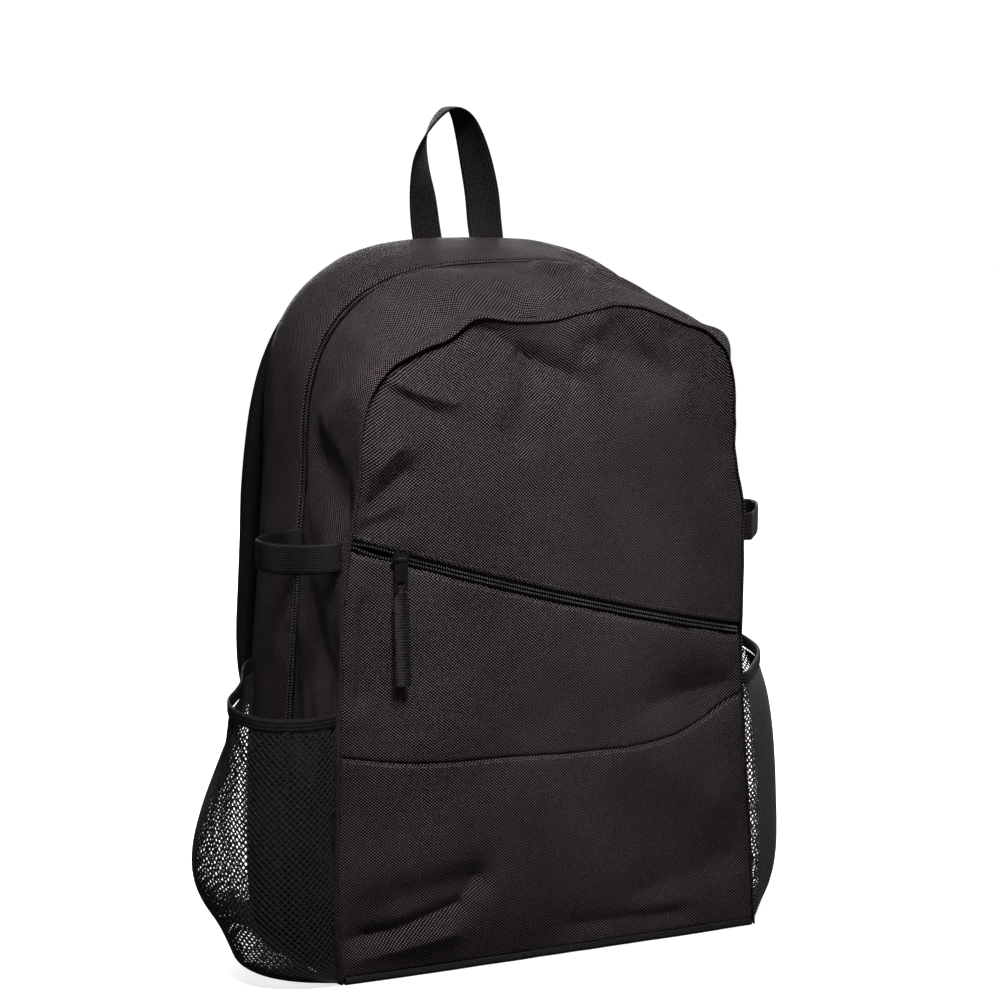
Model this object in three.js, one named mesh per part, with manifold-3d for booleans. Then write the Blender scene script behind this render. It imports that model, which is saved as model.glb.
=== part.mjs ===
// A soft backpack with a bat pocket on each side. Millimetres: X to the right seen from the front,
// Y to the back, Z up. The origin is the middle of the bottom panel, on the ground.
import * as THREE from "three";
import { mergeVertices } from "three/addons/utils/BufferGeometryUtils.js";
import Module from "manifold-3d";

const wasm = await Module();
wasm.setup();

// The bag: overall size, and the height over which its crown is arched
const BAG_HEIGHT = 488;
const BAG_WIDTH = 330;
const BAG_DEPTH = 164;
const ARCH_RISE = 146;
const ARCH_POWER = 2.6;
const FRONT_CROWN = 13;
const BACK_CROWN = 5;
const FRONT_LIP = 2.6;
const FLOOR_GAP = 0.8;

// Cloth, and the clearances between sewn pieces
const CLOTH = 1.6;
const SEAM_GAP = 0.4;
const PANEL_GAP = 0.7;
const BACK_PADDING = 5;
const BOTTOM = 3;
const PIPING_RADIUS = 2.7;
const POCKET_CLOTH_SET = 5;
const FOLD_WIDTH = 16;
const FOLD_DEPTH = 4;

// Zippers
const ZIPPER_WIDTH = 9;
const TAPE = 1.2;
const COIL_WIDTH = 5;
const COIL_RISE = 1.1;
const COIL_SUNK = 0.5;
const SLIT = 2.6;
const SLIT_END = 2;
const MAIN_ZIPPER_Y = 0.7;
const MAIN_ZIPPER_END = 112;
const MAIN_SLIDER_HEIGHT = 320;
const FRONT_ZIPPER_HEIGHT = 251;
const FRONT_ZIPPER_SLOPE = 0.268;
const FRONT_ZIPPER_BOW = 5;
const FRONT_SLIDER_INSET = 44;

// Sliders and pulls
const SLIDER_LENGTH = 10;
const SLIDER_WIDTH = 8.8;
const SLIDER_PLATE = 1.8;
const SLIDER_GAP = 0.5;
const BAR_OUT = 4.9;
const BAR_RADIUS = 0.9;
const EYE_GAP = 0.45;
const EYE_WALL = 0.8;
const PULL_WIDTH = 8.6;
const PULL_LENGTH = 21;
const PULL_THICKNESS = 1.5;
const PULL_SLOT = 3.8;
const TAB_WIDTH = 10.6;
const TAB_LENGTH = 63;
const TAB_THICKNESS = 2.2;

// Webbing, elastic, net and padding
const WEBBING_WIDTH = 25;
const WEBBING = 1.7;
const ELASTIC_WIDTH = 20;
const ELASTIC = 1.5;
const LOOP_HEIGHT = 288;
const LOOP_REACH = 43;
const NET = 1.2;
const NET_LOW = 3;
const NET_SLACK = 48;
const BARREL_REACH = 57;
const BINDING_WIDTH = 9;
const POCKET_HEIGHT = 184;
const POCKET_RISE = 16;
const OFF_SEAM = 1.5;
const HANDLE_RISE = 92;
const HANDLE_SPREAD = 48;
const HANDLE_X = 10;
const STRAP_WIDTH = 62;
const STRAP_THICKNESS = 11;
const STRAP_STAND_OFF = 39;
const TONGUE = 2;
const TAIL_LENGTH = 62;
const ADJUSTER_WIDTH = 33;
const ADJUSTER_THICKNESS = 3.5;
const ADJUSTER_HALF = 12;
const ADJUSTER_DROP = 22;
const BAR_GAP = 0.6;
const WEBBING_INSET = 23;

const FRONT_Y = -BAG_DEPTH / 2;
const BACK_Y = BAG_DEPTH / 2;
const BASE_HALF = BAG_WIDTH / 2;
const SHOULDER = BAG_HEIGHT - ARCH_RISE;
const INSET = CLOTH + SEAM_GAP;
const PANEL_INSET = INSET + PANEL_GAP;
const BACK_INSET = INSET + SEAM_GAP;
const POCKET_CLOTH_Y = FRONT_Y + POCKET_CLOTH_SET;
const ZIPPER_HALF = ZIPPER_WIDTH / 2 + SEAM_GAP;
const ZIPPER_FRONT = MAIN_ZIPPER_Y - ZIPPER_HALF;
const ZIPPER_BACK = MAIN_ZIPPER_Y + ZIPPER_HALF;
const STEP = 6;

// Half widths by height, as shares of the height below the arch and of the half width of the base.
// The soft front leans to the left, so it has a column for each side; the back is even.
const side_rows = [
  { z: 0.0, left: 0.985, right: 0.985, back: 0.985 },
  { z: 0.17, left: 1.0, right: 0.965, back: 1.0 },
  { z: 0.43, left: 0.99, right: 0.925, back: 0.985 },
  { z: 0.6, left: 0.98, right: 0.905, back: 0.96 },
  { z: 0.73, left: 0.968, right: 0.91, back: 0.938 },
  { z: 0.87, left: 0.935, right: 0.91, back: 0.918 },
  { z: 0.96, left: 0.898, right: 0.88, back: 0.905 },
  { z: 1.0, left: 0.886, right: 0.862, back: 0.901 },
];

// From the front to the back, in shares of the depth: the crown's height and the sides' swell as
// shares of the height and of the half width, how far the front's lean counts, and how square the
// arch is on each side, as shares of its power
const depth_rows = [
  { y: -0.516, top: 0.909, swell: -0.006, lean: 1.0, left: 1.0, right: 1.5 },
  { y: -0.5, top: 0.914, swell: 0.0, lean: 1.0, left: 1.0, right: 1.5 },
  { y: -0.36, top: 0.934, swell: 0.015, lean: 0.9, left: 1.0, right: 1.45 },
  { y: -0.2, top: 0.955, swell: 0.012, lean: 0.55, left: 1.02, right: 1.3 },
  { y: -0.04, top: 0.97, swell: 0.003, lean: 0.2, left: 1.05, right: 1.15 },
  { y: 0.06, top: 0.976, swell: 0.005, lean: 0.0, left: 1.08, right: 1.12 },
  { y: 0.2, top: 0.991, swell: 0.012, lean: 0.0, left: 1.12, right: 1.12 },
  { y: 0.36, top: 1.0, swell: 0.009, lean: 0.0, left: 1.15, right: 1.15 },
  { y: 0.5, top: 0.99, swell: -0.024, lean: 0.0, left: 1.15, right: 1.15 },
];

// Folds of the cloth from one point to another; a depth above 0 presses inwards. X is a share of the
// half width, Y of the bag's depth, Z of its height.
const crown_folds = [
  { x: -0.6, y: -0.39, x2: -0.12, y2: -0.44, width: 1, depth: 1.1 },
  { x: 0.36, y: -0.43, x2: 0.5, y2: -0.18, width: 1, depth: 1 },
  { x: 0.05, y: -0.24, x2: 0.24, y2: -0.12, width: 1.1, depth: -0.6 },
];
const left_folds = [
  { y: -0.43, z: 0.66, y2: -0.18, z2: 0.72, width: 0.95, depth: 1 },
  { y: -0.4, z: 0.8, y2: -0.24, z2: 0.76, width: 0.8, depth: -0.75 },
  { y: -0.24, z: 0.5, y2: -0.37, z2: 0.42, width: 1.25, depth: 0.9 },
];
const right_folds = [
  { y: -0.38, z: 0.84, y2: -0.21, z2: 0.83, width: 1, depth: -2 },
  { y: -0.35, z: 0.76, y2: -0.18, z2: 0.74, width: 0.9, depth: 0.75 },
];
const front_folds = [
  { x: -0.12, z: 0.83, x2: -0.2, z2: 0.75, width: 0.9, depth: 1 },
  { x: 0.22, z: 0.87, x2: 0.45, z2: 0.82, width: 1, depth: 1.1 },
  { x: -0.86, z: 0.74, x2: -0.73, z2: 0.62, width: 1.1, depth: -0.75 },
  { x: 0.58, z: 0.36, x2: 0.91, z2: 0.35, width: 1.1, depth: 1 },
  { x: -0.91, z: 0.1, x2: -0.42, z2: 0.13, width: 0.8, depth: 1 },
  { x: 0.73, z: 0.2, x2: 0.36, z2: 0.28, width: 1.4, depth: -0.75 },
];

// The lower seam of the front, in shares of the half width and of the height
const seam_rows = [
  { x: -1.0, z: 0.318 },
  { x: -0.67, z: 0.301 },
  { x: -0.21, z: 0.297 },
  { x: 0.18, z: 0.293 },
  { x: 0.52, z: 0.301 },
  { x: 0.67, z: 0.315 },
  { x: 0.83, z: 0.338 },
  { x: 1.0, z: 0.36 },
];

// Grab handle from foot to foot: X in shares of the spread of its feet, Y and Z of its rise, and how
// far the width of the webbing is turned from X
const handle_rows = [
  { x: -0.5, y: 0.0, z: -0.16, turn: 4 },
  { x: -0.5, y: 0.004, z: 0.0, turn: 6 },
  { x: -0.52, y: 0.027, z: 0.16, turn: 8 },
  { x: -0.54, y: 0.043, z: 0.34, turn: 14 },
  { x: -0.56, y: 0.054, z: 0.52, turn: 28 },
  { x: -0.54, y: 0.065, z: 0.68, turn: 43 },
  { x: -0.46, y: 0.065, z: 0.83, turn: 62 },
  { x: -0.33, y: 0.054, z: 0.95, turn: 74 },
  { x: -0.17, y: 0.043, z: 1.03, turn: 82 },
  { x: -0.02, y: 0.043, z: 1.04, turn: 94 },
  { x: 0.125, y: 0.043, z: 0.96, turn: 108 },
  { x: 0.25, y: 0.043, z: 0.8, turn: 122 },
  { x: 0.354, y: 0.043, z: 0.6, turn: 136 },
  { x: 0.44, y: 0.043, z: 0.38, turn: 147 },
  { x: 0.48, y: 0.038, z: 0.16, turn: 156 },
  { x: 0.5, y: 0.015, z: 0.0, turn: 166 },
  { x: 0.5, y: 0.004, z: -0.16, turn: 176 },
];

// Bat loops from the front seam backwards: shares of the depth and of the reach
const loop_rows = {
  left: [
    { y: -0.482, off: 0 },
    { y: -0.494, off: 0.2 },
    { y: -0.494, off: 0.5 },
    { y: -0.457, off: 0.78 },
    { y: -0.39, off: 0.96 },
    { y: -0.305, off: 1.02 },
    { y: -0.22, off: 0.97 },
    { y: -0.146, off: 0.78 },
    { y: -0.091, off: 0.46 },
    { y: -0.055, off: 0 },
  ],
  right: [
    { y: -0.482, off: -0.01 },
    { y: -0.476, off: 0.14 },
    { y: -0.415, off: 0.3 },
    { y: -0.329, off: 0.54 },
    { y: -0.244, off: 0.76 },
    { y: -0.171, off: 0.88 },
    { y: -0.11, off: 0.86 },
    { y: -0.073, off: 0.5 },
    { y: -0.055, off: 0 },
  ],
};

// Bat pockets from the front seam to the rear one: shares of the depth, and how much of the barrel's
// reach and of the net's slack each place takes
const net_rows = {
  left: [
    { y: -0.488, barrel: -0.015, slack: 0 },
    { y: -0.506, barrel: 0.22, slack: 0 },
    { y: -0.506, barrel: 0.5, slack: 0 },
    { y: -0.47, barrel: 0.77, slack: 0 },
    { y: -0.402, barrel: 0.94, slack: 0 },
    { y: -0.317, barrel: 1, slack: 0 },
    { y: -0.232, barrel: 0.98, slack: 0.08 },
    { y: -0.134, barrel: 0.82, slack: 0.35 },
    { y: -0.03, barrel: 0.5, slack: 0.8 },
    { y: 0.073, barrel: 0.25, slack: 1 },
    { y: 0.183, barrel: 0.1, slack: 0.95 },
    { y: 0.28, barrel: 0.03, slack: 0.7 },
    { y: 0.348, barrel: 0, slack: 0.36 },
    { y: 0.378, barrel: 0, slack: 0 },
  ],
  right: [
    { y: -0.488, barrel: 0, slack: 0 },
    { y: -0.463, barrel: 0.13, slack: 0 },
    { y: -0.378, barrel: 0.38, slack: 0 },
    { y: -0.28, barrel: 0.66, slack: 0 },
    { y: -0.189, barrel: 0.86, slack: 0.02 },
    { y: -0.104, barrel: 0.97, slack: 0.04 },
    { y: -0.018, barrel: 1, slack: 0.08 },
    { y: 0.067, barrel: 0.96, slack: 0.14 },
    { y: 0.152, barrel: 0.84, slack: 0.2 },
    { y: 0.232, barrel: 0.62, slack: 0.22 },
    { y: 0.305, barrel: 0.36, slack: 0.18 },
    { y: 0.354, barrel: 0.16, slack: 0.08 },
    { y: 0.378, barrel: 0, slack: 0 },
  ],
};

// The same pockets from the bottom seam to the binding, in shares of the net's height
const net_levels = [
  { z: 0.0, left: 0.02, right: 0.02, slack: 0 },
  { z: 0.01, left: 0.46, right: 0.3, slack: 0 },
  { z: 0.025, left: 0.72, right: 0.56, slack: 0.01 },
  { z: 0.06, left: 0.9, right: 0.78, slack: 0.1 },
  { z: 0.12, left: 0.96, right: 0.9, slack: 0.4 },
  { z: 0.2, left: 0.98, right: 0.95, slack: 0.75 },
  { z: 0.3, left: 1, right: 0.96, slack: 0.96 },
  { z: 0.42, left: 1, right: 0.96, slack: 1 },
  { z: 0.57, left: 0.99, right: 0.96, slack: 0.875 },
  { z: 0.73, left: 0.98, right: 0.94, slack: 0.65 },
  { z: 0.87, left: 0.97, right: 0.88, slack: 0.44 },
  { z: 1.0, left: 0.96, right: 0.76, slack: 0.33 },
];

// Shoulder straps from the top: shares of the half width, the stand-off, the height, the strap's
// width and its thickness
const strap_rows = [
  { x: 0.436, off: 0.0, z: 0.93, width: 0.8, thickness: 0.4 },
  { x: 0.497, off: 0.01, z: 0.9, width: 0.92, thickness: 0.6 },
  { x: 0.594, off: 0.04, z: 0.86, width: 1, thickness: 0.9 },
  { x: 0.667, off: 0.08, z: 0.815, width: 1, thickness: 1 },
  { x: 0.709, off: 0.156, z: 0.762, width: 1, thickness: 1 },
  { x: 0.727, off: 0.285, z: 0.7, width: 1, thickness: 1 },
  { x: 0.727, off: 0.49, z: 0.63, width: 1, thickness: 1 },
  { x: 0.721, off: 0.64, z: 0.56, width: 1, thickness: 1 },
  { x: 0.721, off: 0.75, z: 0.49, width: 1, thickness: 1 },
  { x: 0.721, off: 0.85, z: 0.42, width: 1, thickness: 1 },
  { x: 0.721, off: 0.85, z: 0.362, width: 0.96, thickness: 1 },
  { x: 0.727, off: 0.82, z: 0.32, width: 0.8, thickness: 0.85 },
  { x: 0.727, off: 0.8, z: 0.296, width: 0.46, thickness: 0.5 },
];

// The strap's webbing near the bottom corner: shares of the height, of the way from the corner to
// the strap and of the stand-off
const foot_rows = [
  { z: 0.033, way: 0, off: 0 },
  { z: 0.07, way: 0.12, off: 0 },
  { z: 0.123, way: 0.45, off: 0.2 },
];

const black_cloth = { color: 0x1f1c1e, roughness: 0.78, metalness: 0 };
const black_webbing = { color: 0x171416, roughness: 0.7, metalness: 0 };
const black_elastic = { color: 0x1b181a, roughness: 0.72, metalness: 0 };
const black_net = { color: 0x151315, roughness: 0.75, metalness: 0 };
const black_coil = { color: 0x121112, roughness: 0.45, metalness: 0 };
const black_metal = { color: 0x0d0d0e, roughness: 0.28, metalness: 0.8 };
const black_plastic = { color: 0x111112, roughness: 0.5, metalness: 0 };

const part = new THREE.Group();
part.name = "baseball_bat_backpack";

const vec = (x, y, z) => new THREE.Vector3(x, y, z);
const mix = (a, b, t) => a + (b - a) * t;
const clamp = (v, low, high) => Math.min(high, Math.max(low, v));
const steps = (count) => Array.from({ length: count + 1 }, (_, i) => i / count);
const radians = THREE.MathUtils.degToRad;
const inside = vec(0, 0, BAG_HEIGHT / 2);

// A table with some of its columns turned from shares into lengths.
function sized(rows, sizes) {
  const scale = ([key, value]) => [key, value * (sizes[key] ?? 1)];
  return rows.map((row) => Object.fromEntries(Object.entries(row).map(scale)));
}

// The value of one column at a place along another, read smoothly between the rows.
function read(rows, by, at, key) {
  const last = rows.length - 1;
  const value = clamp(at, rows[0][by], rows[last][by]);
  let i = 0;
  while (i < last - 1 && value > rows[i + 1][by]) i++;
  const slope = (k) => {
    const a = rows[Math.max(0, k - 1)];
    const b = rows[Math.min(last, k + 1)];
    return (b[key] - a[key]) / (b[by] - a[by]);
  };
  const span = rows[i + 1][by] - rows[i][by];
  const t = (value - rows[i][by]) / span;
  const t2 = t * t;
  const t3 = t2 * t;
  return (
    (2 * t3 - 3 * t2 + 1) * rows[i][key] +
    (t3 - 2 * t2 + t) * span * slope(i) +
    (3 * t2 - 2 * t3) * rows[i + 1][key] +
    (t3 - t2) * span * slope(i + 1)
  );
}

// Folds in millimetres, each as the two ends of its line in the two coordinates of its surface.
function foldLines(rows, u, v) {
  const spans = { x: BASE_HALF, y: BAG_DEPTH, z: BAG_HEIGHT };
  return rows.map((row) => ({
    from: [row[u] * spans[u], row[v] * spans[v]],
    to: [row[u + "2"] * spans[u], row[v + "2"] * spans[v]],
    width: row.width * FOLD_WIDTH,
    depth: row.depth * FOLD_DEPTH,
  }));
}

// How deep the folds press at a point.
function pressed(lines, u, v) {
  let depth = 0;
  for (const { from, to, width, depth: deep } of lines) {
    const run = [to[0] - from[0], to[1] - from[1]];
    const share = ((u - from[0]) * run[0] + (v - from[1]) * run[1]) / (run[0] ** 2 + run[1] ** 2);
    const along = clamp(share, 0, 1);
    const away = Math.hypot(u - from[0] - along * run[0], v - from[1] - along * run[1]);
    depth += deep * Math.exp(-((away / width) ** 2));
  }
  return depth;
}

const crownHeight = (y) => BAG_HEIGHT * read(depth_rows, "y", y / BAG_DEPTH, "top");
const archPower = (sign, y) => ARCH_POWER * read(depth_rows, "y", y / BAG_DEPTH, sign < 0 ? "left" : "right");

// Half width of the outside of the bag on one side, at a height and a depth, less an inset.
function halfWidth(sign, z, y, inset = 0) {
  const swell = read(depth_rows, "y", y / BAG_DEPTH, "swell");
  const lean = read(depth_rows, "y", y / BAG_DEPTH, "lean");
  const low = Math.min(z / SHOULDER, 1);
  const front = read(side_rows, "z", low, sign < 0 ? "left" : "right");
  const side = BASE_HALF * (mix(read(side_rows, "z", low, "back"), front, lean) + swell) - inset;
  if (z <= SHOULDER) return side;
  const rise = clamp((z - SHOULDER) / (crownHeight(y) - inset - SHOULDER), 0, 1);
  const power = archPower(sign, y);
  return side * (1 - rise ** power) ** (1 / power);
}

// Heights of the points of the sides; two of them lie at the step below the main zipper.
function sideHeights(lowest) {
  const plain = [0.1, 0.21, 0.34, 0.46, 0.57, 0.69, 0.8, 0.9].map((share) => share * SHOULDER);
  const kept = plain.filter((z) => z > lowest + STEP && Math.abs(z - MAIN_ZIPPER_END) > 2 * STEP);
  const ends = [MAIN_ZIPPER_END, MAIN_ZIPPER_END + STEP].filter((z) => z > lowest + STEP);
  return [lowest, ...kept, ...ends].sort((a, b) => a - b);
}

// The arched outline at a depth, from the left bottom corner over the crown to the right one.
function outline(y, inset, lowest, archSteps = 26) {
  const rise = crownHeight(y) - inset - SHOULDER;
  const heights = sideHeights(lowest);
  const left = heights.map((z) => ({ x: -halfWidth(-1, z, y, inset), z }));
  const right = heights.map((z) => ({ x: halfWidth(1, z, y, inset), z })).reverse();
  const arch = steps(archSteps).map((t) => {
    const turn = mix(-Math.PI / 2, Math.PI / 2, t);
    const half = halfWidth(turn, SHOULDER, y, inset);
    const power = archPower(turn, y);
    return {
      x: half * Math.sign(turn) * Math.abs(Math.sin(turn)) ** (2 / power),
      z: SHOULDER + rise * Math.max(0, Math.cos(turn)) ** (2 / power),
    };
  });
  return [...left, ...arch, ...right];
}

// The same points moved inwards by a distance.
function shrunk(points, distance) {
  return points.map((p, i) => {
    const a = points[Math.max(0, i - 1)];
    const b = points[Math.min(points.length - 1, i + 1)];
    const length = Math.hypot(b.x - a.x, b.z - a.z);
    return { x: p.x + (distance * (b.z - a.z)) / length, z: p.z - (distance * (b.x - a.x)) / length };
  });
}

// A closed body from its points and faces; the faces are turned outwards if need be.
function body(points, faces) {
  let volume = 0;
  for (const [a, b, c] of faces) volume += points[a].dot(points[b].clone().cross(points[c]));
  const index = volume < 0 ? faces.flatMap(([a, b, c]) => [a, c, b]) : faces.flat();
  const geometry = new THREE.BufferGeometry();
  const numbers = points.flatMap((p) => [p.x, p.y, p.z]);
  geometry.setAttribute("position", new THREE.Float32BufferAttribute(numbers, 3));
  geometry.setIndex(index);
  geometry.computeVertexNormals();
  return geometry;
}

// A sheet of even thickness: the grid is its outer face, and it thickens towards a point.
function wall(grid, thickness, towards) {
  const rows = grid.length;
  const columns = grid[0].length;
  const at = (i, j) => grid[clamp(i, 0, rows - 1)][clamp(j, 0, columns - 1)];
  const normal = (i, j) => {
    const across = at(i, j + 1).clone().sub(at(i, j - 1));
    const along = at(i + 1, j).clone().sub(at(i - 1, j));
    return across.cross(along).normalize();
  };
  const middle = [Math.floor(rows / 2), Math.floor(columns / 2)];
  const side = Math.sign(normal(...middle).dot(towards.clone().sub(at(...middle))));
  const outer = grid.flat();
  const inner = grid.flatMap((row, i) =>
    row.map((p, j) => p.clone().addScaledVector(normal(i, j), side * thickness)),
  );
  const faces = [];
  const quad = (a, b, c, d) => faces.push([a, b, c], [a, c, d]);
  const id = (i, j) => i * columns + j;
  const count = rows * columns;
  for (let i = 0; i < rows - 1; i++)
    for (let j = 0; j < columns - 1; j++) {
      const corners = [id(i, j), id(i, j + 1), id(i + 1, j + 1), id(i + 1, j)];
      quad(...corners);
      quad(...corners.map((k) => k + count).reverse());
    }
  const rim = [];
  for (let j = 0; j < columns; j++) rim.push(id(0, j));
  for (let i = 1; i < rows; i++) rim.push(id(i, columns - 1));
  for (let j = columns - 2; j >= 0; j--) rim.push(id(rows - 1, j));
  for (let i = rows - 2; i > 0; i--) rim.push(id(i, 0));
  rim.forEach((a, k) => {
    const b = rim[(k + 1) % rim.length];
    quad(b, a, a + count, b + count);
  });
  return body([...outer, ...inner], faces);
}

// A body through a row of rings with the same number of points, closed at both ends.
function loft(rings) {
  const size = rings[0].length;
  const faces = [];
  for (let i = 0; i < rings.length - 1; i++)
    for (let k = 0; k < size; k++) {
      const a = i * size + k;
      const b = i * size + ((k + 1) % size);
      faces.push([a, b, b + size], [a, b + size, a + size]);
    }
  const last = (rings.length - 1) * size;
  for (let k = 1; k < size - 1; k++) {
    faces.push([0, k + 1, k]);
    faces.push([last, last + k, last + k + 1]);
  }
  return body(rings.flat(), faces);
}

// A ribbon along a path. Each station has its middle, the way its width points, and its sizes.
function ribbon(stations, corner = 0.3) {
  const rings = stations.map((station, i) => {
    const before = stations[Math.max(0, i - 1)].at;
    const after = stations[Math.min(stations.length - 1, i + 1)].at;
    const tangent = after.clone().sub(before).normalize();
    const across = station.across.clone();
    across.addScaledVector(tangent, -across.dot(tangent)).normalize();
    const up = tangent.clone().cross(across).normalize();
    const w = station.width / 2;
    const t = station.thickness / 2;
    const c = corner * station.thickness;
    const profile = [
      [-w + c, -t],
      [w - c, -t],
      [w, -t + c],
      [w, t - c],
      [w - c, t],
      [-w + c, t],
      [-w, t - c],
      [-w, -t + c],
    ];
    return profile.map(([a, b]) => station.at.clone().addScaledVector(across, a).addScaledVector(up, b));
  });
  return loft(rings);
}

// A geometry as a solid to join or cut, and a solid as a geometry again.
function solid(geometry) {
  const plain = geometry.clone();
  plain.deleteAttribute("normal");
  plain.deleteAttribute("uv");
  const merged = mergeVertices(plain, 1e-4);
  return new wasm.Manifold(
    new wasm.Mesh({
      numProp: 3,
      vertProperties: merged.getAttribute("position").array,
      triVerts: new Uint32Array(merged.index.array),
    }),
  );
}

function geometryOf(manifold) {
  const mesh = manifold.getMesh();
  const geometry = new THREE.BufferGeometry();
  geometry.setAttribute("position", new THREE.Float32BufferAttribute(mesh.vertProperties, 3));
  geometry.setIndex(Array.from(mesh.triVerts));
  geometry.computeVertexNormals();
  return geometry;
}

const joined = (...shapes) => shapes.map(solid).reduce((a, b) => a.add(b));

function add(name, geometry, look, group = part) {
  const mesh = new THREE.Mesh(geometry, new THREE.MeshStandardMaterial(look));
  mesh.name = name;
  group.add(mesh);
}

// Side and top bands in front of and behind the main zipper
const crown_lines = foldLines(crown_folds, "x", "y");
const left_lines = foldLines(left_folds, "y", "z");
const right_lines = foldLines(right_folds, "y", "z");

// A point of the bands, pressed by the folds; they fade out at the seams.
function bandPoint({ x, z }, y) {
  const crown = z > SHOULDER ? pressed(crown_lines, x, y) : 0;
  const flank = pressed(x < 0 ? left_lines : right_lines, y, z);
  const fade = clamp(Math.min(y - FRONT_Y, ZIPPER_FRONT - y) / (0.085 * BAG_DEPTH), 0, 1);
  const out = vec(x, 0, z - Math.min(z, SHOULDER)).normalize();
  return vec(x, y, z).addScaledVector(out, -(crown + flank) * fade);
}

// A band of the bag through a row of depths; a depth may change with the height.
function band(depths) {
  return depths.map((depth) => {
    const at = typeof depth === "number" ? () => depth : depth;
    return outline(at(BAG_HEIGHT), 0, FLOOR_GAP).map((spot) => bandPoint(spot, at(spot.z)));
  });
}

const behindZipper = (z) => (z < MAIN_ZIPPER_END + STEP / 2 ? ZIPPER_BACK - SEAM_GAP : ZIPPER_FRONT);
const front_depths = [
  FRONT_Y - FRONT_LIP,
  FRONT_Y,
  POCKET_CLOTH_Y,
  ...[0.2, 0.38, 0.6, 0.82].map((share) => mix(FRONT_Y, ZIPPER_FRONT, share)),
  behindZipper,
];
const rear_depths = [0, 0.18, 0.42, 0.74, 0.92, 1].map((share) => mix(ZIPPER_BACK, BACK_Y, share));
add("front_gusset", wall(band(front_depths), CLOTH, inside), black_cloth);
add("rear_gusset", wall(band(rear_depths), CLOTH, inside), black_cloth);

// Main zipper: a strip along the arch between the two bands, with its coil in the middle
const zipper_profile = [
  [-ZIPPER_WIDTH / 2, -TAPE],
  [ZIPPER_WIDTH / 2, -TAPE],
  [ZIPPER_WIDTH / 2, 0],
  [COIL_WIDTH / 2, 0],
  [COIL_WIDTH / 4, COIL_RISE],
  [-COIL_WIDTH / 4, COIL_RISE],
  [-COIL_WIDTH / 2, 0],
  [-ZIPPER_WIDTH / 2, 0],
];
const mainSpots = outline(MAIN_ZIPPER_Y, 0, MAIN_ZIPPER_END + STEP + 2);
const mainRings = mainSpots.map((spot, i) => {
  const before = mainSpots[Math.max(0, i - 1)];
  const after = mainSpots[Math.min(mainSpots.length - 1, i + 1)];
  const out = vec(before.z - after.z, 0, after.x - before.x).normalize();
  const middle = vec(spot.x, MAIN_ZIPPER_Y, spot.z).addScaledVector(out, -COIL_SUNK);
  return zipper_profile.map(([across, up]) => middle.clone().add(vec(0, across, 0)).addScaledVector(out, up));
});
add("main_zipper", loft(mainRings), black_coil);

// The crowned front: heights of its zipper and of its lower seam, and how far it bulges
const frontTop = crownHeight(FRONT_Y) - PANEL_INSET;
const front_lines = foldLines(front_folds, "x", "z");
const zipperHeight = (x) =>
  FRONT_ZIPPER_HEIGHT - FRONT_ZIPPER_SLOPE * x + FRONT_ZIPPER_BOW * (x / BASE_HALF) ** 2;
const seamHeight = (x) => BAG_HEIGHT * read(seam_rows, "x", x / BASE_HALF, "z");

function frontDepth(x, z) {
  const across = clamp(x / halfWidth(x, Math.min(z, frontTop - 1), FRONT_Y, PANEL_INSET), -1, 1);
  const up = clamp((2 * z) / frontTop - 1, -1, 1);
  const dome = (1 - Math.abs(across) ** 3) * (1 - Math.abs(up) ** 5);
  return FRONT_Y - FRONT_CROWN * dome + pressed(front_lines, x, z) * Math.min(1, 2 * dome);
}

// The height, on the line at a share of the half width, where it meets a curve across the front.
function meet(share, curve) {
  let z = curve(0);
  for (let k = 0; k < 12; k++) z = curve(share * halfWidth(share, z, FRONT_Y, PANEL_INSET));
  return z;
}

// A grid between two curves; the last figure sets how much closer its rows get towards the top.
function frontGrid(low, high, rowCount, closer = 0) {
  const levels = steps(rowCount).map((t) => mix(t, Math.sin((Math.PI / 2) * t), closer));
  return levels.map((t) =>
    steps(22).map((s) => {
      const share = mix(-1, 1, s);
      const z = mix(meet(share, low), meet(share, high), t);
      const x = share * halfWidth(share, z, FRONT_Y, PANEL_INSET);
      return vec(x, frontDepth(x, z), z);
    }),
  );
}

const zipperLow = (x) => zipperHeight(x) - ZIPPER_HALF;
const zipperHigh = (x) => zipperHeight(x) + ZIPPER_HALF;
const seamLow = (x) => seamHeight(x) - SEAM_GAP / 2;
const seamHigh = (x) => seamHeight(x) + SEAM_GAP / 2;
const overPiping = () => 2 * PIPING_RADIUS + 3 * SEAM_GAP;
const underLip = () => frontTop - 1;
add("front_panel_upper", wall(frontGrid(zipperHigh, underLip, 12, 0.7), CLOTH, inside), black_cloth);
add("front_panel_middle", wall(frontGrid(seamHigh, zipperLow, 6), CLOTH, inside), black_cloth);
add("front_panel_lower", wall(frontGrid(overPiping, seamLow, 7), CLOTH, inside), black_cloth);

// Front zipper: open for a short way between its left end and its slider
const sliderX = FRONT_SLIDER_INSET - BASE_HALF;
const zipperX = (share) => share * halfWidth(share, meet(share, zipperHeight), FRONT_Y, PANEL_INSET);
const frontRings = steps(24).map((t) => {
  const x = zipperX(mix(-0.985, 0.985, t));
  const z = zipperHeight(x);
  const y = frontDepth(x, z) + COIL_SUNK;
  return zipper_profile.map(([across, up]) => vec(x, y - up, z + across));
});
const slitRings = steps(6).map((t) => {
  const x = mix(zipperX(-0.985) + SLIT_END, sliderX, t);
  const z = zipperHeight(x);
  const y = frontDepth(x, z);
  const corners = [
    [-ZIPPER_WIDTH, -SLIT],
    [ZIPPER_WIDTH, -SLIT],
    [ZIPPER_WIDTH, SLIT],
    [-ZIPPER_WIDTH, SLIT],
  ];
  return corners.map(([out, up]) => vec(x, y + out, z + up / 2));
});
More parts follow.
